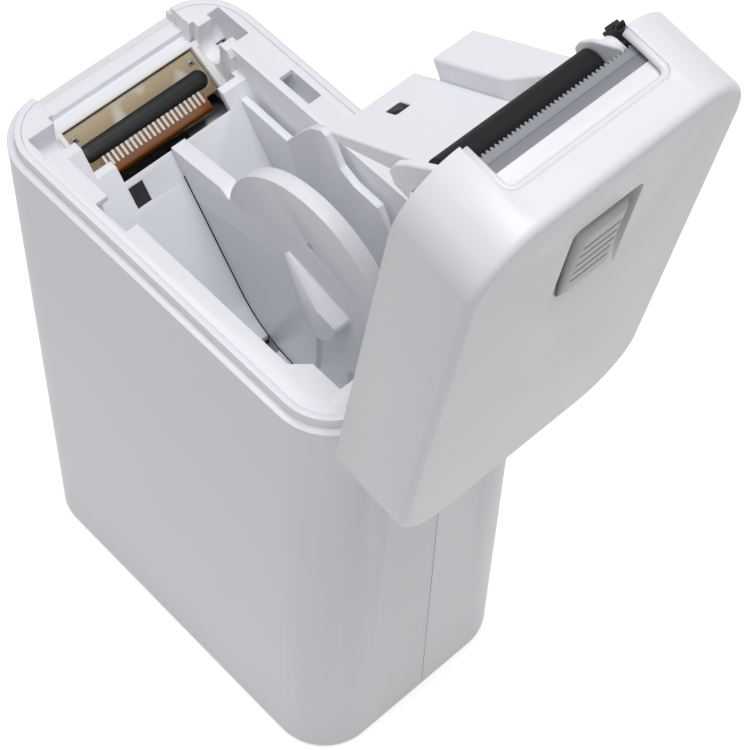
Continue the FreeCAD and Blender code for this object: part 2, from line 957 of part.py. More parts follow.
def headFlex():
    half = flexThickness / 2
    path = [
        headPoint(ceramicRear + 0.05, -0.3),
        headPoint(ceramicRear + 1.2, -0.6),
        headPoint(ceramicRear + 2.2, -1.6),
        headPoint(ceramicRear + 2.6, -3.2),
        (headPoint(ceramicRear + 2.6, -3.2)[0] - 0.6, rim(-19.5)),
    ]
    upper = []
    lower = []
    for index, (y, z) in enumerate(path):
        before = path[max(index - 1, 0)]
        after = path[min(index + 1, len(path) - 1)]
        length = math.hypot(after[0] - before[0], after[1] - before[1])
        nx = -(after[1] - before[1]) / length
        ny = (after[0] - before[0]) / length
        upper.append((y + nx * half, z + ny * half))
        lower.append((y - nx * half, z - ny * half))
    return prismX(upper + lower[::-1], -flexHalf, flexHalf)


def headSprings():
    top = headPoint(0, -ceramicThickness - sinkThickness)[1]
    slope = math.tan(math.radians(headTilt))
    coils = []
    for x in (-springX, springX):
        high = top - (springY - headLineY) * slope - (springRadius + springWire) * slope - 1.7
        coils.append(coil(x, springY, rim(beamLevel), high, springRadius, springWire, springTurns))
    return Part.makeCompound(coils)


def idlerGear():
    y, z = idlerCentre()
    return gear(idlerTeeth, -90, y, z, outerGearLeft, outerGearWidth, gearBore)


def reductionGear():
    y, z = reductionCentre()
    phase = 90 + 180 / reductionSmallTeeth
    small = gear(reductionSmallTeeth, phase, y, z, outerGearLeft, outerGearWidth, gearBore)
    large = gear(reductionLargeTeeth, motorAngle, y, z, innerGearLeft, innerGearWidth, gearBore)
    neck = rodX(y, z, 2.2, outerGearLeft + outerGearWidth, innerGearLeft).cut(
        rodX(y, z, gearBore, outerGearLeft, innerGearLeft + 1)
    )
    return join([small, large, neck])


def motorPinion():
    y, z = motorCentre()
    phase = motorAngle + 180 + 180 / pinionTeeth
    wheel = gear(pinionTeeth, phase, y, z, innerGearLeft, innerGearWidth, motorShaftRadius - 0.2)
    axle = rodX(y, z, motorShaftRadius, innerGearLeft, plateLeft + plateThickness + 2)
    return join([wheel, axle])


def gearPins():
    pins = []
    for centre in (idlerCentre(), reductionCentre()):
        y, z = centre
        pin = rodX(y, z, gearPinRadius, outerGearLeft - 1.0, plateLeft + plateThickness)
        cap = rodX(y, z, gearPinRadius + 0.8, outerGearLeft - 1.0, outerGearLeft - 0.4)
        pins.append(pin.fuse(cap))
    return Part.makeCompound(pins)


def gearPlate():
    right = plateLeft + plateThickness
    plate = block(plateLeft, right, plateFront, plateRear, rim(plateBottomLevel), rim(plateTopLevel))
    y, z = motorCentre()
    plate = plate.cut(rodX(y, z, motorShaftRadius + 1.2, plateLeft - 1, right + 1))
    for centre in (idlerCentre(), reductionCentre()):
        plate = plate.cut(rodX(centre[0], centre[1], gearPinRadius, plateLeft - 1, right + 1))
    pinY, pinZ = headPoint(headPinFront, headPinUnder)
    return plate.cut(rodX(pinY, pinZ, headPinRadius + 0.2, plateLeft - 1, right + 1))


def motor():
    y, z = motorCentre()
    left = plateLeft + plateThickness
    can = rodX(y, z, motorRadius, left, left + motorLength)
    can = can.cut(rodX(y, z, motorShaftRadius + 0.1, left - 1, left + 3))
    cap = rodX(y, z, 3.0, left + motorLength, left + motorLength + 1.2)
    socket = block(left + 4, left + 12, y - 5, y + 5, z - motorRadius - 3, z - motorRadius + 1)
    return join([can, cap, socket])


def guideProfileSlide():
    arm = prismX(
        [
            (-37.0, rim(-8.4)),
            (-35.6, rim(-7.4)),
            (-15.2, rim(-5.2)),
            (-12.0, rim(-7.0)),
            (-8.0, rim(-7.0)),
            (0.0, rim(-20.0)),
            (0.0, rim(guideBottom)),
            (-37.0, rim(guideBottom)),
        ],
        -slideHalf,
        slideHalf,
    )
    disc = rodX(discY, rim(discLevel), discRadius, -slideHalf, slideHalf)
    skirt = block(-slideHalf, slideHalf, discY - 24, discY + 16, rim(guideBottom), rim(discLevel))
    return join([arm, disc, skirt])


def bayInside(gap):
    # The bay less a running gap, which trims the guides to the trough.
    return baySolid(-gap, trayLevel + 30)


def guideSlide():
    body = guideProfileSlide().common(bayInside(guideGap))
    tip = vec(slideHalf, hubY - hubTipSetback, rim(hubLevel + hubTipLift))
    hub = Part.makeCone(hubTipRadius, hubRadius, hubLength, tip, vec(0, hubLean, -hubDrop))
    reach = hubRadius + hubLength / 2
    keep = block(
        slideHalf - 1,
        slideHalf + hubReach,
        hubY - reach,
        hubY + reach,
        rim(hubLevel) - reach,
        rim(hubLevel) + reach,
    )
    hub = hub.common(keep)
    fin = prismX(
        [
            (22.2 - finWidth / 2, rim(-47.0)),
            (22.2 + finWidth / 2, rim(-47.0)),
            (22.2 + finWidth / 2, rim(-20.0)),
            (22.2 - finWidth / 2, rim(-20.0)),
        ],
        slideHalf - 0.5,
        slideHalf + hubReach - 0.6,
    )
    body = join([body, hub, fin])
    body = body.cut(rodX(hubHoleY, rim(hubHoleLevel), 1.3, slideHalf - 1.6, slideHalf + 1))
    top = rim(troughBottom + 5.5)
    foot = block(-slideHalf, slideHalf, railY - footHalf, railY + footHalf, rim(railLevel), top)
    eye = rodX(railY, rim(railLevel), railBlockRadius, -slideHalf, slideHalf)
    y, z = slopePoint(slopeRun(tabY), 0)
    tab = block(-slideHalf, slideHalf, y - 1.5, y + 1.5, z - 3.2, z + 3.2)
    body = join([body, foot, eye, tab])
    return body.cut(rodX(railY, rim(railLevel), railBore, -slideHalf - 1, slideHalf + 1))


def guideFixed():
    plate = prismX(
        [
            (-39.0, rim(-9.2)),
            (-38.0, rim(-7.6)),
            (-16.7, rim(-8.0)),
            (-11.2, rim(1.0)),
            (-7.5, rim(6.0)),
            (-3.6, rim(8.6)),
            (-1.4, rim(8.4)),
            (0.6, rim(5.6)),
            (4.0, rim(-0.1)),
            (9.5, rim(-2.4)),
            (18.6, rim(-2.8)),
            (22.9, rim(-11.2)),
            (30.0, rim(guideBottom)),
            (-39.0, rim(guideBottom)),
        ],
        fixedGuideLeft,
        fixedGuideRight,
    )
    web = block(bayLeft, fixedGuideLeft, 2, 3.4, rim(guideBottom), rim(-20))
    return join([plate, web]).common(bayInside(0))


def guideRail():
    rod = rodX(railY, rim(railLevel), railRadius, bayLeft - traySheet, bayRight + traySheet)
    return rod


def mainBoard():
    top = boardBase + boardThickness
    board = block(boardLeft, boardRight, boardFront, boardRear, boardBase, top)
    chips = [
        block(-20, -8, -10, 2, top, top + 1.4),
        block(2, 12, -8, 2, top, top + 1.6),
        block(-4, 4, -40, -32, top, top + 1.2),
        rodZ(18, -24, 4, top, top + 9),
        rodZ(18, -36, 4, top, top + 9),
        block(-30, -26, -6, 8, top, top + 6),
    ]
    return join([board] + chips)


def usbInlet():
    base = boardBase + boardThickness
    outer = block(
        -halfWidth + 0.6,
        -halfWidth + 0.6 + usbDepth,
        usbY - usbWidth / 2,
        usbY + usbWidth / 2,
        base,
        base + usbHeight,
    )
    long = [edge for edge in outer.Edges if abs(edge.tangentAt(edge.FirstParameter).x) > 0.9]
    outer = outer.makeFillet(usbHeight / 2 - 0.05, long)
    inner = block(
        -halfWidth,
        -halfWidth + usbDepth - 0.8,
        usbY - usbWidth / 2 + usbWall,
        usbY + usbWidth / 2 - usbWall,
        base + usbWall,
        base + usbHeight - usbWall,
    )
    long = [edge for edge in inner.Edges if abs(edge.tangentAt(edge.FirstParameter).x) > 0.9]
    inner = inner.makeFillet(usbHeight / 2 - usbWall - 0.05, long)
    tongue = block(-halfWidth + 1.2, -halfWidth + usbDepth, usbY - 3.3, usbY + 3.3, base + 1.25, base + 1.95)
    return join([outer.cut(inner), tongue])


def batteryPack():
    floor = coverBase + coverThickness
    cells = []
    for x in (-cellRadius - 0.2, cellRadius + 0.2):
        can = rodZ(x, cellY, cellRadius, floor, floor + cellLength)
        cells += [can, rodZ(x, cellY, 2.8, floor + cellLength, floor + cellLength + 1)]
    bridge = block(-4, 4, cellY - 5, cellY + 5, floor + 20, floor + 50)
    return join(cells + [bridge])


def switchBoard():
    board = block(
        buttonX - switchBoardWidth / 2,
        buttonX + switchBoardWidth / 2,
        switchBoardY,
        switchBoardY + 1.4,
        buttonZ - 11,
        lightZ + 8,
    )
    switch = block(buttonX - 3, buttonX + 3, switchBoardY - 2.0, switchBoardY, buttonZ - 3, buttonZ + 3)
    lamp = block(buttonX - 1.5, buttonX + 1.5, switchBoardY - 1.0, switchBoardY, lightZ - 1.5, lightZ + 1.5)
    return join([board, switch, lamp])


def statusLight():
    return rodY(buttonX, lightZ, lightRadius, -halfLength + 0.1, switchBoardY - 1.0)


def powerButton():
    wallInner = -halfLength + caseWall
    cap = rodY(buttonX, buttonZ, buttonRadius, -halfLength - buttonProud, wallInner + buttonGap)
    rimEdges = [edge for edge in cap.Edges if edge.BoundBox.YMax < -halfLength - buttonProud + 0.01]
    cap = cap.makeChamfer(0.4, rimEdges)
    flange = rodY(buttonX, buttonZ, buttonFlange, wallInner + buttonGap, wallInner + buttonGap + 0.8)
    stem = rodY(buttonX, buttonZ, 1.5, wallInner + buttonGap + 0.8, switchBoardY - 2.0 - 1.1)
    return join([cap, flange, stem])


def lidShell():
    base = rim(lidGap)
    top = rim(lidTop)
    outer = roundedPlan(0, base, top)
    upper = [edge for edge in outer.Edges if edge.BoundBox.ZMin > top - 0.01]
    outer = outer.makeFillet(lidEdge, upper)
    shell = outer.cut(roundedPlan(lidWall, base - 1, top - lidRoof))
    padTop = top - lidRoof + 0.5
    pad = block(-rampPadHalf, rampPadHalf, rampFront - 2.2, rampRear + 2, rim(rampPadLevel), padTop)
    arm = join([
        rodX(hingeY, rim(hingeLevel), armRadius, armInner, armOuter),
        block(armInner, armOuter, hingeY - armRadius, halfLength - lidWall + 0.4, rim(hingeLevel), rim(9)),
    ])
    behind = block(armInner - 1, armOuter + 1, hingeY + armRadius, halfLength, rim(hingeLevel) - 9, base)
    arm = arm.cut(behind)
    shell = join([shell, pad] + bothSides(arm))
    for cutter in bothSides(rodX(hingeY, rim(hingeLevel), armBore, armInner - 1, armOuter + 1)):
        shell = shell.cut(cutter)
    shell = shell.cut(exitNotch(ledgeHalf))
    shell = shell.cut(rampWedge())
    shell = shell.cut(block(-slotHalf, slotHalf, slotFront, slotRear, rim(rampPadLevel) - 1, top + 1))
    stopBase = rim(latchTop - latchThickness)
    latchStop = block(-tongueHalf, tongueHalf, latchSpringRear, latchSpringRear + 1.6, stopBase, padTop)
    return join([shell, latchStop])


def exitNotch(half):
    notch = block(-half, half, -halfLength - 1, -halfLength + lidWall + 0.6, rim(-1), rim(notchTopLevel))
    corners = [
        edge
        for edge in notch.Edges
        if edge.BoundBox.ZMin > rim(notchTopLevel) - 0.01 and edge.BoundBox.XLength < 0.01
    ]
    return notch.makeFillet(notchCorner, corners)


def rampPoint(y, lift):
    # A point over the release ramp: y is measured from the ramp's rear end.
    angle = rampAngle()
    run = y - rampRear
    placeY = rampRear + run * math.cos(angle) - lift * math.sin(angle)
    placeZ = rim(lidTop) + run * math.sin(angle) + lift * math.cos(angle)
    return placeY, placeZ


def rampAngle():
    return math.atan2(rampDepth, rampRear - rampFront)


def rampWedge():
    points = [
        (rampFront, rim(lidTop) - rampDepth),
        (rampRear, rim(lidTop)),
        (rampRear, rim(lidTop) + 3),
        (rampFront, rim(lidTop) + 3),
    ]
    wedge = prismX(points, -rampHalf, rampHalf)
    corners = [
        edge
        for edge in wedge.Edges
        if edge.BoundBox.YMax < rampFront + 0.01
        and edge.BoundBox.XLength < 0.01
        and edge.BoundBox.ZLength > 1
    ]
    return wedge.makeFillet(2.5, corners)


def releaseSlider():
    start = sliderStart
    end = sliderStart + sliderLength
    low = [rampPoint(start, sliderLift), rampPoint(end, sliderLift)]
    high = [rampPoint(end, sliderLift + sliderThickness), rampPoint(start, sliderLift + sliderThickness)]
    slider = prismX(low + high, -sliderHalf, sliderHalf)
    for index in range(grooveCount):
        middle = start + sliderLength / 2 + (index - (grooveCount - 1) / 2) * groovePitch
        points = [
            rampPoint(middle - grooveWidth / 2, sliderLift + sliderThickness - grooveDepth),
            rampPoint(middle + grooveWidth / 2, sliderLift + sliderThickness - grooveDepth),
            rampPoint(middle + grooveWidth / 2, sliderLift + sliderThickness + 1),
            rampPoint(middle - grooveWidth / 2, sliderLift + sliderThickness + 1),
        ]
        slider = slider.cut(prismX(points, -sliderHalf + 0.8, sliderHalf - 0.8))
    stem = prismX(
        [
            (stemFront, rim(latchTop)),
            (stemRear, rim(latchTop)),
            rampPoint(stemRear, sliderLift + 0.4),
            rampPoint(stemFront, sliderLift + 0.4),
        ],
        -stemHalf,
        stemHalf,
    )
    return join([slider, stem])


def latchBar():
    low = rim(latchTop - latchThickness)
    top = rim(latchTop)
    tongue = block(-tongueHalf, tongueHalf, stemFront - 1.5, latchBarRear, low, top)
    bar = block(-hookOuter, hookOuter, latchBarFront, latchBarRear, low, top)
    leg = block(hookInner, hookOuter, latchBarFront + 0.5, latchBarRear, rim(hookBottom), top)
    nose = prismX(
        [
            (noseTip, rim(noseTop)),
            (noseTip, rim(noseTop - 1.2)),
            (latchBarFront + 0.6, rim(hookBottom)),
            (latchBarFront + 0.6, rim(noseTop)),
        ],
        hookInner,
        hookOuter,
    )
    return join([tongue, bar] + bothSides(join([leg, nose])))


def latchSpring():
    low = latchBarRear
    high = latchSpringRear
    height = rim(latchTop - latchThickness / 2)
    spring = coil(0, 0, 0, high - low, latchCoilRadius, latchCoilWire, latchCoilTurns)
    spring.rotate(vec(0, 0, 0), vec(1, 0, 0), -90)
    spring.translate(vec(0, low, height))
    return spring


def lidChassis():
    level = rim(chassisLevel)
    plate = block(-chassisHalf, chassisHalf, chassisFront, chassisRear, level, level + chassisThickness)
    roof = rim(lidTop - lidRoof)
    ribs = []
    for x0 in (rampPadHalf + 2, 24):
        rib = block(x0, x0 + 1.6, chassisFront, chassisRear, level, roof)
        ribs += bothSides(rib)
    ribs.append(block(-chassisHalf, chassisHalf, chassisFront, chassisFront + 1.4, level, roof))
    cheek = join([
        rodX(platenY, rim(platenLevel), cheekEnd, cheekInner, cheekOuter),
        block(cheekInner, cheekOuter, platenY - cheekEnd, platenY + cheekEnd, rim(platenLevel), level + 0.5),
    ])
    body = join([plate] + ribs + bothSides(cheek))
    for cutter in bothSides(rodX(platenY, rim(platenLevel), bushRadius, cheekInner - 1, cheekOuter + 1)):
        body = body.cut(cutter)
    inner = roundedPlan(lidWall, rim(-20), roof)
    return body.common(inner)


def platenBushes():
    y = platenY
    z = rim(platenLevel)
    sleeve = rodX(y, z, bushRadius, cheekInner - 0.6, cheekOuter)
    flange = rodX(y, z, bushFlange, cheekInner - 0.6 - bushFlangeWidth, cheekInner)
    bush = sleeve.fuse(flange).cut(rodX(y, z, bushBore, cheekInner - 3, cheekOuter + 1))
    return Part.makeCompound(bothSides(bush))


def exitInsert():
    half = ledgeHalf - 0.2
    face = prismX(
        [
            (insertFront, rim(notchTopLevel)),
            (insertFront + 0.6, rim(insertBottom)),
            (insertRear, rim(insertBottom)),
            (insertRear, rim(notchTopLevel + 2)),
            (insertFront + 0.8, rim(notchTopLevel + 2)),
            (insertFront + 0.8, rim(notchTopLevel)),
        ],
        -half,
        half,
    )
    inner = face.common(roundedPlan(lidWall, rim(-5), rim(lidTop)))
    outer = face.common(exitNotch(half))
    return join([inner, outer])


def tearBar():
    root = rim(tearTip + tearToothDepth)
    bar = block(-tearHalf, tearHalf, tearFront, tearRear, root, rim(chassisLevel + 2))
    pitch = 2 * tearHalf / tearTeeth
    teeth = []
    for index in range(tearTeeth):
        x = -tearHalf + index * pitch
        corners = [
            vec(x, tearFront, rim(tearTip + tearToothDepth)),
            vec(x + pitch, tearFront, rim(tearTip + tearToothDepth)),
            vec(x + pitch / 2, tearFront, rim(tearTip)),
        ]
        face = Part.Face(Part.makePolygon(corners + [corners[0]]))
        teeth.append(face.extrude(vec(0, tearRear - tearFront, 0)))
    foot = block(-tearHalf, tearHalf, tearFront, chassisFront, rim(chassisLevel + 1.2), rim(chassisLevel + 2))
    return join([bar, foot] + teeth)


def chutePoint(along, lift):
    return slopePoint(along, chuteOffset + lift)


def paperChute():
    sheet = prismX(
        [
            chutePoint(chuteStart, 0),
            chutePoint(chuteLength, 0),
            chutePoint(chuteLength, chuteThickness),
            chutePoint(chuteStart, chuteThickness),
        ],
        chuteTopLeft,
        chuteTopRight,
    )
    kneeY = chutePoint(chuteKnee, 0)[0]
    startY = chutePoint(chuteStart, 0)[0] - 3
    endY = chutePoint(chuteLength, 0)[0] + 3
    plan = [
        (chuteTopLeft, startY),
        (chuteTopRight, startY),
        (chuteTopRight, kneeY - 6),
        (chuteTipRight, kneeY),
        (chuteTipRight, endY),
        (chuteTipLeft, endY),
        (chuteTipLeft, kneeY - 6),
        (chuteTopLeft, kneeY - 12),
    ]
    sheet = sheet.common(prismZ(plan, rim(-60), rim(40)))
    hole = prismX(
        [
            chutePoint(windowAlong, -1),
            chutePoint(windowAlong + windowSize, -1),
            chutePoint(windowAlong + windowSize, chuteThickness + 1),
            chutePoint(windowAlong, chuteThickness + 1),
        ],
        windowLeft,
        windowLeft + windowSize,
    )
    sheet = sheet.cut(hole)
    under = block(-halfWidth, halfWidth, -halfLength, halfLength, rim(-60), rim(chassisLevel))
    return sheet.common(under)


def chuteSensor():
    points = [
        chutePoint(windowAlong, 0.2),
        chutePoint(windowAlong + windowSize, 0.2),
        chutePoint(windowAlong + windowSize, chuteThickness),
        chutePoint(windowAlong, chuteThickness),
    ]
    return prismX(points, windowLeft, windowLeft + windowSize)


def platenShaft():
    return rodX(platenY, rim(platenLevel), shaftRadius, shaftLeft, shaftRight)


def platenRubber():
    roll = rodX(platenY, rim(platenLevel), platenRadius, -platenHalf, platenHalf)
    return roll.cut(rodX(platenY, rim(platenLevel), shaftRadius, -platenHalf - 1, platenHalf + 1))


def platenGear():
    phase = -90 + 180 / platenTeeth
    return gear(platenTeeth, phase, platenY, rim(platenLevel), outerGearLeft, outerGearWidth, shaftRadius)


fixedPieces = {
    "case_right": caseRight,
    "case_left": caseLeft,
    "bottom_cover": bottomCover,
    "foot_mat": footMat,
    "cover_screws": coverScrews,
    "rim_frame": rimFrame,
    "hinge_pins": hingePins,
    "tray": tray,
    "gap_sensor": gapSensor,
    "guide_fixed": guideFixed,
    "guide_rail": guideRail,
    "guide_slide": guideSlide,
    "head_frame": headFrame,
    "head_ceramic": headCeramic,
    "head_epoxy": headEpoxy,
    "head_pads": headPads,
    "head_sink": headSink,
    "head_flex": headFlex,
    "head_pin": headPin,
    "head_springs": headSprings,
    "idler_gear": idlerGear,
    "reduction_gear": reductionGear,
    "motor_pinion": motorPinion,
    "gear_pins": gearPins,
    "gear_plate": gearPlate,
    "motor": motor,
    "main_board": mainBoard,
    "usb_inlet": usbInlet,
    "battery_pack": batteryPack,
    "switch_board": switchBoard,
    "status_light": statusLight,
    "power_button": powerButton,
}

lidPieces = {
    "lid_shell": lidShell,
    "lid_chassis": lidChassis,
    "release_slider": releaseSlider,
    "latch_bar": latchBar,
    "latch_spring": latchSpring,
    "platen_bushes": platenBushes,
    "exit_insert": exitInsert,
    "tear_bar": tearBar,
    "paper_chute": paperChute,
    "chute_sensor": chuteSensor,
    "platen_shaft": platenShaft,
    "platen_rubber": platenRubber,
    "platen_gear": platenGear,
}

os.makedirs("parts", exist_ok=True)
for name, make in fixedPieces.items():
    make().exportStep("parts/" + name + ".step")
for name, make in lidPieces.items():
    openLid(make()).exportStep("parts/" + name + ".step")
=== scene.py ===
import json
import math

import bmesh
import bpy
from mathutils import Matrix, Vector


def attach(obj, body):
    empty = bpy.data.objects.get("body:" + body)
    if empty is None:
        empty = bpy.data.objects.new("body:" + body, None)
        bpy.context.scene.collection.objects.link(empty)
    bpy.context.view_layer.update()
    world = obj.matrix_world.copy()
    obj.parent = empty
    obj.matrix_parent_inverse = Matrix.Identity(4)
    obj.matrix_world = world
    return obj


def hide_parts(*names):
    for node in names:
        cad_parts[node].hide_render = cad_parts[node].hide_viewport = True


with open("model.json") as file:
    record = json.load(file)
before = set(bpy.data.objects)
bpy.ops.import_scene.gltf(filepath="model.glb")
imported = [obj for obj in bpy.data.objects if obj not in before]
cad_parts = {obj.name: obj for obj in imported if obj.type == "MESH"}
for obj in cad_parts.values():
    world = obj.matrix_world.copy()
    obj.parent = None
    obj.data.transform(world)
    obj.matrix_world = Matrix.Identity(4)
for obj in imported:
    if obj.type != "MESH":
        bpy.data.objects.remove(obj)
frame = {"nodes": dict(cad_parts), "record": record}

scene = bpy.context.scene
mm = 0.001
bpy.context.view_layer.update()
bodyOf = {}
for bodyName, members in frame["record"]["behaviour"]["bodies"].items():
    for member in members:
        bodyOf[member] = bodyName


# ---- materials

def plastic(name, colour, rough=0.42, grain=0.25, grainSize=0.12, tone=0.05, edge=0.25, edgeColour=None,
            metal=0.0, coat=0.0, softness=0.35, brushed=None, specular=0.5):
    """Moulded surface: fine grain, slow tone changes, softened and lighter edges."""
    mat = bpy.data.materials.new(name)
    mat.use_nodes = True
    nodes, links = mat.node_tree.nodes, mat.node_tree.links
    shader = nodes["Principled BSDF"]
    shader.inputs["Metallic"].default_value = metal
    shader.inputs["Coat Weight"].default_value = coat
    shader.inputs["Specular IOR Level"].default_value = specular
    coord = nodes.new("ShaderNodeTexCoord")
    place = coord.outputs["Object"]
    if brushed:
        stretch = nodes.new("ShaderNodeVectorMath")
        stretch.operation = "MULTIPLY"
        stretch.inputs[1].default_value = brushed
        links.new(place, stretch.inputs[0])
        grainPlace = stretch.outputs[0]
    else:
        grainPlace = place
    fine = nodes.new("ShaderNodeTexNoise")
    fine.inputs["Scale"].default_value = 1.0 / (grainSize * mm)
    fine.inputs["Detail"].default_value = 3.0
    links.new(grainPlace, fine.inputs["Vector"])
    broad = nodes.new("ShaderNodeTexNoise")
    broad.inputs["Scale"].default_value = 38.0
    broad.inputs["Detail"].default_value = 4.0
    links.new(place, broad.inputs["Vector"])
    soft = nodes.new("ShaderNodeBevel")
    soft.samples = 4
    soft.inputs["Radius"].default_value = softness * mm
    bump = nodes.new("ShaderNodeBump")
    bump.inputs["Strength"].default_value = grain
    bump.inputs["Distance"].default_value = 0.00004
    links.new(fine.outputs["Fac"], bump.inputs["Height"])
    links.new(soft.outputs["Normal"], bump.inputs["Normal"])
    links.new(bump.outputs["Normal"], shader.inputs["Normal"])
    roughRange = nodes.new("ShaderNodeMapRange")
    roughRange.inputs["To Min"].default_value = rough - 0.07
    roughRange.inputs["To Max"].default_value = rough + 0.07
    links.new(broad.outputs["Fac"], roughRange.inputs["Value"])
    links.new(roughRange.outputs["Result"], shader.inputs["Roughness"])
    geo = nodes.new("ShaderNodeNewGeometry")
    dot = nodes.new("ShaderNodeVectorMath")
    dot.operation = "DOT_PRODUCT"
    links.new(geo.outputs["Normal"], dot.inputs[0])
    links.new(soft.outputs["Normal"], dot.inputs[1])
    # Edge mask from the softened normal; edges are mixed towards a lighter colour.
    edgeMask = nodes.new("ShaderNodeMapRange")
    edgeMask.inputs["From Min"].default_value = 0.99
    edgeMask.inputs["From Max"].default_value = 0.80
    edgeMask.inputs["To Max"].default_value = edge
    links.new(dot.outputs["Value"], edgeMask.inputs["Value"])
    shade = nodes.new("ShaderNodeMix")
    shade.data_type = "RGBA"
    low = [c * (1 - tone) for c in colour]
    high = [min(1, c * (1 + tone)) for c in colour]
    shade.inputs["A"].default_value = (*low, 1)
    shade.inputs["B"].default_value = (*high, 1)
    links.new(broad.outputs["Fac"], shade.inputs["Factor"])
    edgeMix = nodes.new("ShaderNodeMix")
    edgeMix.data_type = "RGBA"
    edgeColour = edgeColour or [min(1, c * 1.12 + 0.01) for c in colour]
    edgeMix.inputs["B"].default_value = (*edgeColour, 1)
    links.new(shade.outputs["Result"], edgeMix.inputs["A"])
    links.new(edgeMask.outputs["Result"], edgeMix.inputs["Factor"])
    links.new(edgeMix.outputs["Result"], shader.inputs["Base Color"])
    return mat


finishes = {
    # shellWhite and trayWhiteBrightened are one white plastic. trayWhiteBrightened is a brightened copy: painted light
    # standing in for light bouncing round the roll bay and cover interior.
    "shellWhite": plastic("shellWhite", (0.765, 0.77, 0.795), 0.38, grain=0.10, tone=0.012, edge=0.15),
    "trayWhiteBrightened": plastic("trayWhiteBrightened", (0.84, 0.845, 0.88), 0.40, grain=0.12, tone=0.015, edge=0.15),
    "headWhite": plastic("headWhite", (0.80, 0.80, 0.77), 0.40, grain=0.12, tone=0.02),
    "sliderGrey": plastic("sliderGrey", (0.50, 0.51, 0.50), 0.45, grain=0.25, tone=0.03),
    "darkRubberAndGapShadow": plastic("darkRubberAndGapShadow", (0.009, 0.0095, 0.010), 0.62, grain=0.35, tone=0.2, specular=0.18),
    "steel": plastic("steel", (0.55, 0.56, 0.58), 0.28, grain=0.4, metal=1.0, brushed=(0.15, 1, 1), tone=0.05),
    "tearSteel": plastic("tearSteel", (0.24, 0.25, 0.28), 0.45, grain=0.5, metal=0.15, brushed=(0.1, 1, 1), tone=0.08, specular=0.3),
    "aluminium": plastic("aluminium", (0.62, 0.63, 0.65), 0.35, grain=0.4, metal=1.0, brushed=(0.1, 1, 1), tone=0.05),
    "ceramic": plastic("ceramic", (0.45, 0.36, 0.22), 0.22, grain=0.1, tone=0.15, coat=0.3),
    "sealant": plastic("sealant", (0.010, 0.012, 0.012), 0.38, grain=0.2, tone=0.2, specular=0.25),
    "markWhite": plastic("markWhite", (0.78, 0.77, 0.74), 0.4, grain=0.1, tone=0.03),
    "darkGear": plastic("darkGear", (0.012, 0.012, 0.013), 0.45, grain=0.2, tone=0.2, specular=0.3),
    # recessGrey: painted shade grey meant for the slider's rim in its recess; no piece takes it.
    "recessGrey": plastic("recessGrey", (0.30, 0.305, 0.30), 0.45, grain=0.2, tone=0.05),
    "padTin": plastic("padTin", (0.50, 0.49, 0.46), 0.35, grain=0.3, metal=0.5, tone=0.06),
    "flexAmber": plastic("flexAmber", (0.20, 0.06, 0.005), 0.30, grain=0.1, tone=0.25, coat=0.4),
    "gearWhite": plastic("gearWhite", (0.72, 0.72, 0.69), 0.42, grain=0.15, tone=0.03),
    "boardGreen": plastic("boardGreen", (0.02, 0.12, 0.05), 0.40, grain=0.2, tone=0.15, coat=0.3),
    "cellBlue": plastic("cellBlue", (0.04, 0.10, 0.26), 0.35, grain=0.1, tone=0.05, coat=0.4),
    "darkGlass": plastic("darkGlass", (0.012, 0.012, 0.015), 0.12, grain=0.02, tone=0.2, coat=0.5),
    "lampGlow": plastic("lampGlow", (0.30, 0.62, 0.35), 0.18, grain=0.05, tone=0.05),
    "feltGrey": plastic("feltGrey", (0.10, 0.10, 0.11), 0.75, grain=0.6, tone=0.1),
}

finishOf = {
    "case_right": "shellWhite", "case_left": "shellWhite", "lid_shell": "shellWhite", "bottom_cover": "shellWhite",
    "rim_frame": "trayWhiteBrightened", "tray": "trayWhiteBrightened", "guide_fixed": "trayWhiteBrightened", "guide_slide": "trayWhiteBrightened",
    "lid_chassis": "trayWhiteBrightened", "exit_insert": "trayWhiteBrightened", "paper_chute": "trayWhiteBrightened", "power_button": "shellWhite",
    "head_frame": "headWhite", "release_slider": "sliderGrey", "latch_bar": "sliderGrey", "platen_rubber": "darkRubberAndGapShadow",
    "foot_mat": "darkRubberAndGapShadow", "platen_shaft": "steel", "hinge_pins": "steel", "gear_pins": "steel",
    "cover_screws": "steel", "head_pin": "steel", "head_springs": "steel", "latch_spring": "steel",
    "guide_rail": "steel", "usb_inlet": "steel", "tear_bar": "tearSteel", "head_sink": "aluminium",
    "gear_plate": "aluminium", "motor": "aluminium", "head_ceramic": "ceramic", "head_epoxy": "sealant",
    "head_pads": "padTin", "head_flex": "flexAmber", "platen_gear": "darkGear", "idler_gear": "gearWhite",
    "reduction_gear": "gearWhite", "motor_pinion": "gearWhite", "platen_bushes": "gearWhite",
    "main_board": "boardGreen", "switch_board": "boardGreen", "battery_pack": "cellBlue",
    "gap_sensor": "darkGlass", "chute_sensor": "darkGlass", "status_light": "lampGlow",
}


# ---- pieces taken from the CAD solids, with rounded edges

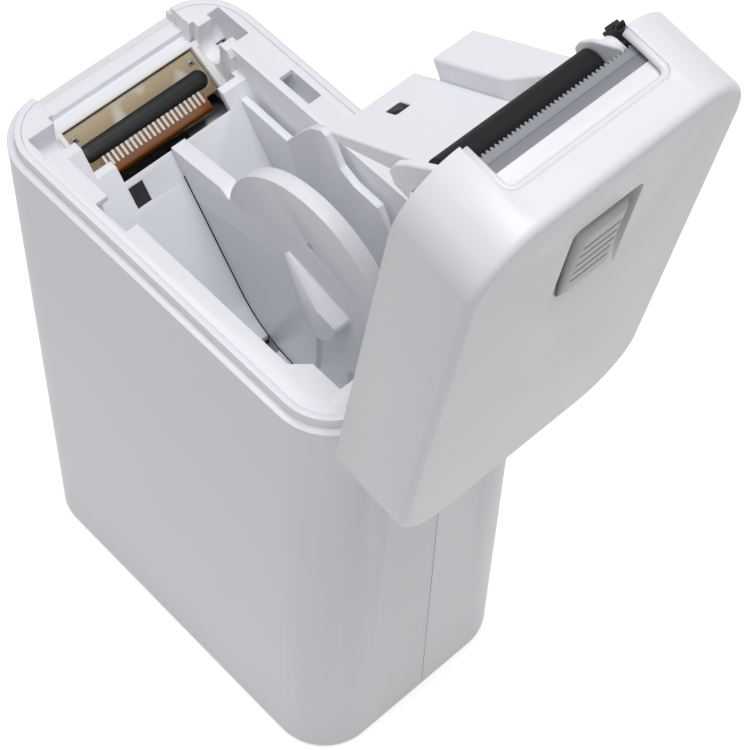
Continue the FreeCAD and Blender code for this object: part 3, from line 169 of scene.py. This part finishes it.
def refine(node, width=0.3, segments=2, angle=30.0, finish=None, clamp=True):
    source = frame["nodes"][node]
    bm = bmesh.new()
    bm.from_mesh(source.data)
    bmesh.ops.remove_doubles(bm, verts=bm.verts, dist=0.002 * mm)
    bmesh.ops.dissolve_limit(bm, angle_limit=math.radians(0.6), use_dissolve_boundaries=False,
                             verts=bm.verts, edges=bm.edges, delimit={"NORMAL"})
    bmesh.ops.recalc_face_normals(bm, faces=bm.faces)
    mesh = bpy.data.meshes.new(node + "_soft")
    bm.to_mesh(mesh)
    bm.free()
    piece = bpy.data.objects.new(node + "_soft", mesh)
    scene.collection.objects.link(piece)
    mesh.materials.append(finishes[finish or finishOf[node]])
    mesh.shade_smooth()
    rounding = piece.modifiers.new("rounding", "BEVEL")
    rounding.width = width * mm
    rounding.segments = segments
    rounding.limit_method = "ANGLE"
    rounding.angle_limit = math.radians(angle)
    rounding.use_clamp_overlap = clamp
    rounding.harden_normals = True
    rounding.miter_outer = "MITER_ARC"
    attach(piece, bodyOf[node])
    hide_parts(node)
    return piece


for node, thing in frame["nodes"].items():
    thing.data.materials.clear()
    thing.data.materials.append(finishes[finishOf[node]])

rimHeight = 183.0
hingeAt = (64.1, 178.5)
openAngle = math.radians(97.66)


def atRest(x, y, level):
    """A place in the case, its level measured from the outer lip."""
    return Vector((x, y, rimHeight + level)) * mm


def atOpen(x, y, level):
    """The same place on the cover, drawn shut and swung open."""
    dy = y - hingeAt[0]
    dz = rimHeight + level - hingeAt[1]
    c, s = math.cos(openAngle), math.sin(openAngle)
    return Vector((x, hingeAt[0] + dy * c + dz * s, hingeAt[1] - dy * s + dz * c)) * mm


def toShut(point):
    """Back from the open cover to the place on it when shut, in millimetres."""
    dy = point.y / mm - hingeAt[0]
    dz = point.z / mm - hingeAt[1]
    c, s = math.cos(openAngle), math.sin(openAngle)
    return Vector((point.x / mm, hingeAt[0] + dy * c - dz * s, hingeAt[1] + dy * s + dz * c - rimHeight))


slope = {"angle": math.radians(53.5), "topY": -37.92, "topLevel": -4.4}


def onSlope(along, lift):
    """(y, level) on the front slope of the roll bay, lifted off it into the bay."""
    c, s = math.cos(slope["angle"]), math.sin(slope["angle"])
    return slope["topY"] + along * c + lift * s, slope["topLevel"] - along * s + lift * c


def slopeLift(y, level):
    c, s = math.cos(slope["angle"]), math.sin(slope["angle"])
    return (y - slope["topY"]) * s + (level - slope["topLevel"]) * c


def newPiece(name, bm, finish, body, width=0.0, segments=2, angle=30.0, clamp=True):
    bmesh.ops.recalc_face_normals(bm, faces=bm.faces)
    mesh = bpy.data.meshes.new(name)
    bm.to_mesh(mesh)
    bm.free()
    mesh.materials.append(finishes[finish])
    mesh.shade_smooth()
    piece = bpy.data.objects.new(name, mesh)
    scene.collection.objects.link(piece)
    if width:
        rounding = piece.modifiers.new("rounding", "BEVEL")
        rounding.width = width * mm
        rounding.segments = segments
        rounding.limit_method = "ANGLE"
        rounding.angle_limit = math.radians(angle)
        rounding.use_clamp_overlap = clamp
        rounding.harden_normals = True
        rounding.miter_outer = "MITER_ARC"
    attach(piece, body)
    return piece


def addPrism(bm, corners, sweep):
    """One face from a few corners, pushed along the sweep."""
    face = bm.faces.new([bm.verts.new(corner) for corner in corners])
    pushed = bmesh.ops.extrude_face_region(bm, geom=[face])
    moved = [item for item in pushed["geom"] if isinstance(item, bmesh.types.BMVert)]
    bmesh.ops.translate(bm, verts=moved, vec=sweep)


def copyOf(node):
    bm = bmesh.new()
    bm.from_mesh(frame["nodes"][node].data)
    bmesh.ops.remove_doubles(bm, verts=bm.verts, dist=0.002 * mm)
    return bm


def tidyFaces(bm):
    bmesh.ops.dissolve_limit(bm, angle_limit=math.radians(0.6), use_dissolve_boundaries=False,
                             verts=bm.verts, edges=bm.edges, delimit={"NORMAL"})


def shear(bm, point, normal, unwanted):
    """Splits along a plane, drops the unwanted faces and closes the holes."""
    bmesh.ops.bisect_plane(bm, geom=list(bm.verts) + list(bm.edges) + list(bm.faces),
                           plane_co=point, plane_no=normal, dist=0.0005 * mm)
    gone = [face for face in bm.faces if unwanted(face.calc_center_median() / mm)]
    bmesh.ops.delete(bm, geom=gone, context="FACES")
    loose = [vert for vert in bm.verts if not vert.link_faces]
    bmesh.ops.delete(bm, geom=loose, context="VERTS")
    rim = [edge for edge in bm.edges if edge.is_boundary]
    bmesh.ops.holes_fill(bm, edges=rim)


# ---- roll guides and tray

def slidingGuide():
    bm = copyOf("guide_slide")
    c, s = math.cos(slope["angle"]), math.sin(slope["angle"])
    away = Vector((0, s, c))
    foot = atRest(0, *onSlope(20, 0.35))
    shear(bm, foot, away, lambda p: p.y < -15 and slopeLift(p.y, p.z - rimHeight) < 0.35)
    side = 2.4
    shear(bm, Vector((side * mm, 0, 0)), Vector((1, 0, 0)), lambda p: p.x > side + 0.001)
    tidyFaces(bm)
    piece = newPiece("guide_slide_soft", bm, "trayWhiteBrightened", bodyOf["guide_slide"], 0.3)
    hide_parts("guide_slide")
    hub = {"start": (11.5, -6.5), "lean": math.radians(-30.2), "length": 22.5, "wide": 7.6, "reach": 4.6}
    bm = bmesh.new()
    steps = 10
    profile = [(0.0, 0.0), (0.0, 1.2), (hub["length"], hub["wide"])]
    for step in range(1, steps + 1):
        turn = math.radians(90 * step / steps)
        profile.append((hub["length"] + hub["wide"] * 0.35 * math.sin(turn), hub["wide"] * math.cos(turn)))
    chain = [bm.verts.new(Vector((0, a, r)) * mm) for a, r in profile]
    edges = [bm.edges.new(pair) for pair in zip(chain, chain[1:])]
    bmesh.ops.spin(bm, geom=chain + edges, cent=(0, 0, 0), axis=(0, 1, 0), angle=2 * math.pi,
                   steps=64, use_merge=True, use_duplicate=False)
    bmesh.ops.remove_doubles(bm, verts=bm.verts, dist=0.01 * mm)
    lean = Matrix.Rotation(hub["lean"], 4, "X")
    shift = Matrix.Translation(atRest(side, *hub["start"]))
    bmesh.ops.transform(bm, matrix=shift @ lean, verts=bm.verts)
    shear(bm, Vector(((side - 0.3) * mm, 0, 0)), Vector((1, 0, 0)), lambda p: p.x < side - 0.301)
    shear(bm, Vector(((side + hub["reach"]) * mm, 0, 0)), Vector((1, 0, 0)), lambda p: p.x > side + hub["reach"] + 0.001)
    piece = newPiece("guide_hub", bm, "trayWhiteBrightened", bodyOf["guide_slide"], 0.5, segments=3, angle=40)
    bm = bmesh.new()
    fin = {"y": 23.4, "thick": 0.9, "low": -46.5, "high": -21.0, "reach": 1.4}
    corners = [atRest(side - 0.3, fin["y"], fin["low"]), atRest(side + fin["reach"], fin["y"], fin["low"]),
               atRest(side + fin["reach"], fin["y"], fin["high"]), atRest(side - 0.3, fin["y"], fin["high"])]
    addPrism(bm, corners, Vector((0, fin["thick"] * mm, 0)))
    piece = newPiece("guide_fin", bm, "trayWhiteBrightened", bodyOf["guide_slide"], 0.25)


def guideGapShadow():
    """Thin dark strip under the guide's edge, along the slope and into the trough: painted shadow for the shade in the
    gap between guide and slope.
    """
    strip = {"from": 13.0, "to": 50.4, "low": 0.04, "high": 0.46, "half": 2.55, "radius": 31.0}
    trough = (17.0, -26.5)
    edge = []
    for rise in (strip["low"], strip["high"]):
        row = [onSlope(strip["from"] + step * (strip["to"] - strip["from"]) / 6, rise) for step in range(7)]
        for step in range(1, 9):
            angle = slope["angle"] * (1 - step / 9)
            r = strip["radius"] - rise
            row.append((trough[0] - r * math.sin(angle), trough[1] - r * math.cos(angle)))
        edge.append(row)
    bm = bmesh.new()
    corners = [atRest(-strip["half"], y, level) for y, level in edge[0] + edge[1][::-1]]
    addPrism(bm, corners, Vector((2 * strip["half"] * mm, 0, 0)))
    # The strip takes the black rubber finish as painted shadow.
    piece = newPiece("guide_gap_shadow", bm, "darkRubberAndGapShadow", bodyOf["guide_slide"])


def rollTray():
    bm = copyOf("tray")
    inSlot = lambda p: (-3.1 < p.x < 24.6 and -30.0 < p.y < -24.5
                        and -2.1 < slopeLift(p.y, p.z - rimHeight) < -0.01)
    gone = [face for face in bm.faces if inSlot(face.calc_center_median() / mm)]
    bmesh.ops.delete(bm, geom=gone, context="FACES")
    rim = [edge for edge in bm.edges if edge.is_boundary]
    bmesh.ops.holes_fill(bm, edges=rim)
    tidyFaces(bm)
    piece = newPiece("tray_soft", bm, "trayWhiteBrightened", bodyOf["tray"], 0.35)
    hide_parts("tray")


# ---- print head

headLine = {"y": -52.91, "level": -6.81, "tilt": math.radians(28.0)}


def onHead(x, along, up):
    c, s = math.cos(headLine["tilt"]), math.sin(headLine["tilt"])
    return atRest(x, headLine["y"] + along * c + up * s, headLine["level"] - along * s + up * c)


def headSeal():
    bead = {"half": 21.8, "front": 1.7, "rear": 7.1, "high": 1.5}
    bm = bmesh.new()
    bmesh.ops.create_uvsphere(bm, u_segments=48, v_segments=24, radius=1.0)
    middle, deep = (bead["front"] + bead["rear"]) / 2, (bead["rear"] - bead["front"]) / 2
    straight = bead["half"] - deep
    for vert in bm.verts:
        x = vert.co.x * deep + (straight if vert.co.x > 0 else -straight)
        if abs(vert.co.x) < 0.001:
            x = 0
        wave = 1 + 0.03 * math.sin(x * 0.9)
        along, up = vert.co.y, vert.co.z
        flat = 1 - (1 - min(1.0, abs(along))) * 0.12
        vert.co = onHead(x, middle + along * deep * wave, up * bead["high"] * flat)
    piece = newPiece("head_seal", bm, "sealant", bodyOf["head_epoxy"])
    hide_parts("head_epoxy")


def headFilm():
    film = {"half": 17.9, "thick": 0.22, "front": 8.0, "flat": 11.6}
    route = [(film["front"], 0.12), (9.6, 0.12), (film["flat"], 0.1), (12.6, -0.3), (13.3, -1.2), (13.5, -2.6), (13.2, -9.0)]
    bm = bmesh.new()
    upper = [onHead(-film["half"], along, up + film["thick"] / 2) for along, up in route]
    lower = [onHead(-film["half"], along - film["thick"] * 0.6, up - film["thick"] / 2) for along, up in reversed(route)]
    addPrism(bm, upper + lower, Vector((2 * film["half"] * mm, 0, 0)))
    piece = newPiece("head_film", bm, "flexAmber", bodyOf["head_flex"], 0.08)
    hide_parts("head_flex")
    pad = {"count": 22, "pitch": 1.58, "wide": 0.86, "front": 7.0, "rear": 10.9, "low": 0.02, "high": 0.42}
    bm = bmesh.new()
    for index in range(pad["count"]):
        x = (index - (pad["count"] - 1) / 2) * pad["pitch"]
        corners = [onHead(x - pad["wide"] / 2, pad["front"], pad["low"]), onHead(x - pad["wide"] / 2, pad["rear"], pad["low"]),
                   onHead(x - pad["wide"] / 2, pad["rear"] - 0.4, pad["high"]), onHead(x - pad["wide"] / 2, pad["front"], pad["high"])]
        addPrism(bm, corners, Vector((pad["wide"] * mm, 0, 0)))
    piece = newPiece("head_joints", bm, "padTin", bodyOf["head_pads"], 0.1)
    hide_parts("head_pads")
    bm = bmesh.new()
    for sx in (-1, 1):
        for x0, x1, a0, a1, up in ((19.2, 21.2, -1.6, 0.4, 0.06),):
            corners = [onHead(sx * x0, a0, 0.0), onHead(sx * x0, a1, 0.0), onHead(sx * x0, a1, up), onHead(sx * x0, a0, up)]
            addPrism(bm, corners, Vector((sx * (x1 - x0) * mm, 0, 0)))
    piece = newPiece("head_marks", bm, "markWhite", bodyOf["head_ceramic"])
    bm = bmesh.new()
    for sx in (-1, 1):
        corners = [onHead(sx * 19.7, -0.7, 0.05), onHead(sx * 19.7, -0.25, 0.05), onHead(sx * 19.7, -0.25, 0.12), onHead(sx * 19.7, -0.7, 0.12)]
        addPrism(bm, corners, Vector((sx * 1.0 * mm, 0, 0)))
    piece = newPiece("head_dashes", bm, "sealant", bodyOf["head_ceramic"])


def cloudCeramic(mat, paleColour, darkColour):
    """Brown deepening towards one long edge, with pale clouds."""
    nodes, links = mat.node_tree.nodes, mat.node_tree.links
    shader = nodes["Principled BSDF"]
    plain = shader.inputs["Base Color"].links[0].from_socket
    coord = nodes.new("ShaderNodeTexCoord")
    parts = nodes.new("ShaderNodeSeparateXYZ")
    links.new(coord.outputs["Object"], parts.inputs[0])
    deep = nodes.new("ShaderNodeMapRange")
    deep.inputs["From Min"].default_value = -0.0558
    deep.inputs["From Max"].default_value = -0.0490
    links.new(parts.outputs["Y"], deep.inputs["Value"])
    fade = nodes.new("ShaderNodeMix")
    fade.data_type = "RGBA"
    links.new(plain, fade.inputs["A"])
    fade.inputs["B"].default_value = (*darkColour, 1)
    links.new(deep.outputs["Result"], fade.inputs["Factor"])
    cloud = nodes.new("ShaderNodeTexNoise")
    cloud.inputs["Scale"].default_value = 85.0
    cloud.inputs["Detail"].default_value = 1.0
    cloud.inputs["Distortion"].default_value = 0.6
    links.new(coord.outputs["Object"], cloud.inputs["Vector"])
    patch = nodes.new("ShaderNodeMapRange")
    patch.inputs["From Min"].default_value = 0.55
    patch.inputs["From Max"].default_value = 0.68
    patch.inputs["To Max"].default_value = 0.75
    links.new(cloud.outputs["Fac"], patch.inputs["Value"])
    pale = nodes.new("ShaderNodeMix")
    pale.data_type = "RGBA"
    links.new(fade.outputs["Result"], pale.inputs["A"])
    pale.inputs["B"].default_value = (*paleColour, 1)
    links.new(patch.outputs["Result"], pale.inputs["Factor"])
    links.new(pale.outputs["Result"], shader.inputs["Base Color"])


# ---- paper chute on the cover

def chute():
    plate = {"left": -16.7, "right": 9.7, "tip": 50.9, "start": -20.0, "low": 2.3, "high": 4.3}
    window = {"left": -6.3, "right": -1.9, "near": 40.3, "far": 44.5}
    bm = bmesh.new()
    xs = [plate["left"], window["left"], window["right"], plate["right"]]
    runs = [plate["tip"], window["far"], window["near"], plate["start"]]
    for column in range(3):
        for row in range(3):
            if column == 1 and row == 1:
                continue
            spots = [(column, row), (column + 1, row), (column + 1, row + 1), (column, row + 1)]
            bm.faces.new([bm.verts.new(atOpen(xs[i], *onSlope(runs[j], plate["low"]))) for i, j in spots])
    bmesh.ops.remove_doubles(bm, verts=bm.verts, dist=0.01 * mm)
    lift = atOpen(0, *onSlope(0, plate["high"])) - atOpen(0, *onSlope(0, plate["low"]))
    pushed = bmesh.ops.extrude_face_region(bm, geom=list(bm.faces))
    moved = [item for item in pushed["geom"] if isinstance(item, bmesh.types.BMVert)]
    bmesh.ops.translate(bm, verts=moved, vec=lift)
    bmesh.ops.recalc_face_normals(bm, faces=bm.faces)
    tidyFaces(bm)
    piece = newPiece("paper_chute_soft", bm, "trayWhiteBrightened", bodyOf["paper_chute"], 0.5, segments=3)
    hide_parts("paper_chute")
    bm = bmesh.new()
    gusset = [(plate["tip"] - 0.6, 1.2), (plate["start"], 1.2), (plate["start"], 9.0), (8.0, 8.0), (plate["tip"] - 0.6, 2.6)]
    corners = [atOpen(plate["right"] - 1.2, *onSlope(along, plate["low"] + rise)) for along, rise in gusset]
    addPrism(bm, corners, Vector((1.2 * mm, 0, 0)))
    piece = newPiece("chute_rib", bm, "trayWhiteBrightened", bodyOf["paper_chute"], 0.3)
    raised = {"left": -30.0, "right": -16.7, "near": 18.0, "far": 42.3, "top": -3.3}
    bm = bmesh.new()
    corners = [atOpen(x, *onSlope(along, raised["top"])) for x, along in (
        (raised["right"], raised["near"]), (raised["right"], raised["far"]),
        (raised["left"], raised["far"]), (raised["left"], raised["near"] - 22.0))]
    addPrism(bm, corners, atOpen(0, *onSlope(0, plate["high"])) - atOpen(0, *onSlope(0, raised["top"])))
    piece = newPiece("chute_block", bm, "trayWhiteBrightened", bodyOf["paper_chute"], 0.9, segments=4)
    bm = bmesh.new()
    corners = [atOpen(x, *onSlope(along, plate["low"] + 0.5)) for x, along in (
        (window["left"], window["near"]), (window["right"], window["near"]),
        (window["right"], window["far"]), (window["left"], window["far"]))]
    addPrism(bm, corners, lift * 0.6)
    piece = newPiece("chute_window", bm, "sealant", bodyOf["chute_sensor"])
    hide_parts("chute_sensor")


def platenCheeks():
    near = [(-62.5, 12.9), (-62.5, -0.6), (-56.0, -7.4), (-52.2, -10.6), (-48.6, -11.6), (-46.0, -9.6), (-44.6, 12.9)]
    far = [(-62.5, 12.9), (-61.5, 1.4), (-56.2, -5.8), (-52.8, -8.4), (-50.0, -9.0), (-47.6, -7.4), (-45.6, 12.9)]
    for name, outline, x0, x1 in (("cheek_right", near, 26.4, 28.6), ("cheek_left", far, -23.7, -22.3)):
        bm = bmesh.new()
        addPrism(bm, [atOpen(x0, y, level) for y, level in outline], Vector(((x1 - x0) * mm, 0, 0)))
        piece = newPiece(name, bm, "trayWhiteBrightened", bodyOf["lid_chassis"], 0.5, segments=3, angle=20)


# ---- release slider

def shadeByHeight(mat, lowColour):
    """Paints shade into the finish: darker where the piece's own per-vertex shade value is small, standing in for the
    shade down the sides of a recess and in grooves.
    """
    nodes, links = mat.node_tree.nodes, mat.node_tree.links
    shader = nodes["Principled BSDF"]
    plain = shader.inputs["Base Color"].links[0].from_socket
    paintedShade = nodes.new("ShaderNodeAttribute")
    paintedShade.attribute_name = "paintedShade"
    ease = nodes.new("ShaderNodeMapRange")
    ease.interpolation_type = "SMOOTHSTEP"
    ease.inputs["From Min"].default_value = 0.15
    ease.inputs["From Max"].default_value = 0.98
    links.new(paintedShade.outputs["Fac"], ease.inputs["Value"])
    blend = nodes.new("ShaderNodeMix")
    blend.data_type = "RGBA"
    blend.inputs["A"].default_value = (*lowColour, 1)
    links.new(plain, blend.inputs["B"])
    links.new(ease.outputs["Result"], blend.inputs["Factor"])
    links.new(blend.outputs["Result"], shader.inputs["Base Color"])


def slider():
    top = {"half": 8.0, "front": -48.2, "rear": -22.0, "frontLevel": 24.9, "rearLevel": 24.35}
    ramp = {"front": -51.0, "rear": -17.4, "level": 24.0, "depth": 5.0, "lift": 0.3}
    groove = {"count": 5, "first": -41.0, "last": -27.0, "half": 5.8, "wide": 0.5, "deep": 0.8}
    soft = 2.8
    bm = bmesh.new()
    bmesh.ops.create_grid(bm, x_segments=72, y_segments=180, size=1.0)
    shade = bm.verts.layers.float.new("paintedShade")
    for vert in bm.verts:
        x = vert.co.x * top["half"]
        y = top["front"] + (vert.co.y + 1) / 2 * (top["rear"] - top["front"])
        bed = ramp["level"] - ramp["depth"] * (ramp["rear"] - y) / (ramp["rear"] - ramp["front"]) + ramp["lift"]
        share = (y - top["front"]) / (top["rear"] - top["front"])
        full = top["frontLevel"] * (1 - share) + top["rearLevel"] * share
        cut = 1.0
        for gap in (top["half"] - abs(x), y - top["front"]):
            near = max(0.0, 1 - gap / soft)
            cut *= math.sqrt(max(0.0, 1 - near * near))
        near = max(0.0, 1 - (top["rear"] - y) / 0.6)
        cut *= math.sqrt(max(0.0, 1 - near * near))
        level = bed + (full - bed) * cut
        # The value falls off down the rounded sides into the recess; the material turns it into painted shade.
        vert[shade] = cut
        for index in range(groove["count"]):
            middle = groove["first"] + index * (groove["last"] - groove["first"]) / (groove["count"] - 1)
            across = max(0.0, 1 - max(0.0, abs(y - middle) - groove["wide"] / 2) / 0.3)
            ends = min(1.0, max(0.0, (groove["half"] - abs(x)) / 0.6))
            level -= groove["deep"] * min(1.0, across) * ends
            # Painted shade in the grooves.
            vert[shade] = min(vert[shade], 1 - 0.9 * min(1.0, across) * ends)
        vert.co = atOpen(x, y, max(level, bed))
    edge = [item for item in bm.edges if item.is_boundary]
    skirt = bmesh.ops.extrude_edge_only(bm, edges=edge)
    fresh = [item for item in skirt["geom"] if isinstance(item, bmesh.types.BMVert)]
    bmesh.ops.translate(bm, verts=fresh, vec=atOpen(0, 0, -0.2) - atOpen(0, 0, 0))
    bmesh.ops.holes_fill(bm, edges=[item for item in bm.edges if item.is_boundary])
    piece = newPiece("slider_pad", bm, "sliderGrey", bodyOf["release_slider"])
    # Painted shade: darker down the sides into the recess and in the grooves.
    shadeByHeight(finishes["sliderGrey"], (0.12, 0.12, 0.115))
    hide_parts("release_slider")


# ---- tear bar

def paintTearBarShading(mat):
    """Painted light and shade across the bar: lighter towards the teeth as a painted highlight, with a darker line
    along the middle as painted shade, standing in for how light falls on a bent section.
    """
    nodes, links = mat.node_tree.nodes, mat.node_tree.links
    shader = nodes["Principled BSDF"]
    plain = shader.inputs["Base Color"].links[0].from_socket
    coord = nodes.new("ShaderNodeTexCoord")
    parts = nodes.new("ShaderNodeSeparateXYZ")
    links.new(coord.outputs["Object"], parts.inputs[0])
    across = nodes.new("ShaderNodeMapRange")
    across.inputs["From Min"].default_value = 0.0888
    across.inputs["From Max"].default_value = 0.0945
    links.new(parts.outputs["Y"], across.inputs["Value"])
    bands = nodes.new("ShaderNodeValToRGB")
    bands.color_ramp.elements[0].color = (0.50, 0.51, 0.54, 1)
    bands.color_ramp.elements[1].color = (0.19, 0.195, 0.215, 1)
    # Stops: painted highlight near the teeth, painted shade line at the middle.
    for place, grey in ((0.12, 0.27), (0.45, 0.25), (0.50, 0.12), (0.56, 0.18), (0.9, 0.21)):
        stop = bands.color_ramp.elements.new(place)
        stop.color = (grey, grey * 1.02, grey * 1.1, 1)
    links.new(across.outputs["Result"], bands.inputs["Fac"])
    blend = nodes.new("ShaderNodeMix")
    blend.data_type = "RGBA"
    blend.inputs["Factor"].default_value = 0.75
    links.new(plain, blend.inputs["A"])
    links.new(bands.outputs["Color"], blend.inputs["B"])
    links.new(blend.outputs["Result"], shader.inputs["Base Color"])


# ---- lip round the paper exit

def exitLip():
    lip = {"half": 22.9, "base": 1.1, "top": 14.1, "corner": 2.6, "y": -66.5, "thick": 1.0}
    path = [Vector((-lip["half"], lip["base"]))]
    steps = 8
    for sx in (-1, 1):
        centre = Vector((sx * (lip["half"] - lip["corner"]), lip["top"] - lip["corner"]))
        for step in range(steps + 1):
            turn = step / steps if sx < 0 else 1 - step / steps
            angle = math.radians(90 * turn)
            path.append(centre + Vector((sx * math.cos(angle), math.sin(angle))) * lip["corner"])
    path.append(Vector((lip["half"], lip["base"])))
    bm = bmesh.new()
    sides = 14
    rings = []
    for index, spot in enumerate(path):
        before, after = path[max(index - 1, 0)], path[min(index + 1, len(path) - 1)]
        run = (after - before).normalized()
        across = Vector((-run.y, run.x))
        ring = []
        for side in range(sides):
            angle = 2 * math.pi * side / sides
            out = across * math.cos(angle) * lip["thick"]
            ring.append(bm.verts.new(atOpen(spot.x + out.x, lip["y"] + lip["thick"] * math.sin(angle), spot.y + out.y)))
        rings.append([bm.edges.new((ring[i], ring[(i + 1) % sides])) for i in range(sides)])
    for first, second in zip(rings, rings[1:]):
        bmesh.ops.bridge_loops(bm, edges=first + second)
    bmesh.ops.holes_fill(bm, edges=[item for item in bm.edges if item.is_boundary])
    piece = newPiece("exit_lip", bm, "shellWhite", bodyOf["lid_shell"])


def recessedInsert():
    bm = copyOf("exit_insert")
    for vert in bm.verts:
        place = toShut(vert.co)
        if place.y < -65.5:
            vert.co = atOpen(place.x, -65.3, place.z)
    bmesh.ops.remove_doubles(bm, verts=bm.verts, dist=0.002 * mm)
    tidyFaces(bm)
    piece = newPiece("exit_insert_soft", bm, "shellWhite", bodyOf["exit_insert"], 0.15)
    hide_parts("exit_insert")


for node, width in (("case_right", 0.45), ("case_left", 0.45), ("rim_frame", 0.35),
                    ("guide_fixed", 0.3), ("lid_shell", 0.45), ("lid_chassis", 0.3), ("head_frame", 0.22)):
    refine(node, width)
slidingGuide()
guideGapShadow()
paintTearBarShading(finishes["tearSteel"])
rollTray()
headSeal()
headFilm()
cloudCeramic(finishes["ceramic"], (0.66, 0.63, 0.56), (0.20, 0.135, 0.06))
chute()
platenCheeks()
slider()
exitLip()
recessedInsert()
print("pieces done", len(frame["nodes"]))


# ---- floor, light and camera

def stageFloor():
    bm = bmesh.new()
    bmesh.ops.create_grid(bm, x_segments=1, y_segments=1, size=6.0)
    mesh = bpy.data.meshes.new("floor")
    bm.to_mesh(mesh)
    bm.free()
    floor = bpy.data.objects.new("floor", mesh)
    scene.collection.objects.link(floor)
    mat = bpy.data.materials.new("floorPaper")
    mat.use_nodes = True
    nodes, links = mat.node_tree.nodes, mat.node_tree.links
    out = nodes["Material Output"]
    nodes.remove(nodes["Principled BSDF"])
    paper = nodes.new("ShaderNodeBsdfDiffuse")
    paper.inputs["Color"].default_value = (0.80, 0.80, 0.80, 1)
    glow = nodes.new("ShaderNodeEmission")
    glow.inputs["Strength"].default_value = 0.58
    both = nodes.new("ShaderNodeAddShader")
    seen = nodes.new("ShaderNodeLightPath")
    pick = nodes.new("ShaderNodeMixShader")
    either = nodes.new("ShaderNodeMath")
    either.operation = "MAXIMUM"
    links.new(seen.outputs["Is Camera Ray"], either.inputs[0])
    links.new(seen.outputs["Is Glossy Ray"], either.inputs[1])
    links.new(paper.outputs[0], both.inputs[0])
    links.new(glow.outputs[0], both.inputs[1])
    links.new(either.outputs[0], pick.inputs["Fac"])
    links.new(paper.outputs[0], pick.inputs[1])
    links.new(both.outputs[0], pick.inputs[2])
    links.new(pick.outputs[0], out.inputs["Surface"])
    mesh.materials.append(mat)


def studioLight():
    world = bpy.data.worlds.new("studio")
    scene.world = world
    world.use_nodes = True
    nodes, links = world.node_tree.nodes, world.node_tree.links
    back = nodes["Background"]
    back.inputs["Color"].default_value = (1, 1, 1, 1)
    path = nodes.new("ShaderNodeLightPath")
    most = nodes.new("ShaderNodeMath")
    most.operation = "MAXIMUM"
    links.new(path.outputs["Is Camera Ray"], most.inputs[0])
    links.new(path.outputs["Is Glossy Ray"], most.inputs[1])
    level = nodes.new("ShaderNodeMapRange")
    level.inputs["To Min"].default_value = 0.375
    level.inputs["To Max"].default_value = 1.0
    links.new(most.outputs[0], level.inputs["Value"])
    links.new(level.outputs["Result"], back.inputs["Strength"])
    for name, place, size, power in (
        ("topSoft", (0.02, 0.08, 1.30), 0.7, 8.0),
        ("frontSoft", (1.0, 0.8, 0.9), 0.8, 0.8),
    ):
        lamp = bpy.data.lights.new(name, "AREA")
        lamp.shape = "DISK"
        lamp.size = size
        lamp.energy = power
        lamp.color = (0.965, 0.975, 1.0)
        thing = bpy.data.objects.new(name, lamp)
        scene.collection.objects.link(thing)
        thing.location = place
        thing.rotation_mode = "QUATERNION"
        thing.rotation_quaternion = (Vector((0, 0, 0.15)) - Vector(place)).to_track_quat("-Z", "Y")


def photoCamera():
    azimuth, elevation, roll = math.radians(134.693), math.radians(57.021), math.radians(2.819)
    back = Vector((math.sin(azimuth) * math.cos(elevation), -math.cos(azimuth) * math.cos(elevation), math.sin(elevation)))
    right = Vector((math.cos(azimuth), math.sin(azimuth), 0))
    up = back.cross(right)
    side = right * math.cos(roll) + up * math.sin(roll)
    top = up * math.cos(roll) - right * math.sin(roll)
    data = bpy.data.cameras.new("photoCamera")
    data.sensor_width = 36
    data.lens = 113.88
    data.clip_start = 0.01
    data.clip_end = 20
    thing = bpy.data.objects.new("photoCamera", data)
    scene.collection.objects.link(thing)
    matrix = Matrix((side, top, back)).transposed().to_4x4()
    matrix.translation = Vector((0.24031, 0.28064, 0.67270))
    thing.matrix_world = matrix
    scene.camera = thing


stageFloor()
studioLight()
photoCamera()
scene.view_settings.view_transform = "Standard"
print("light and camera done")
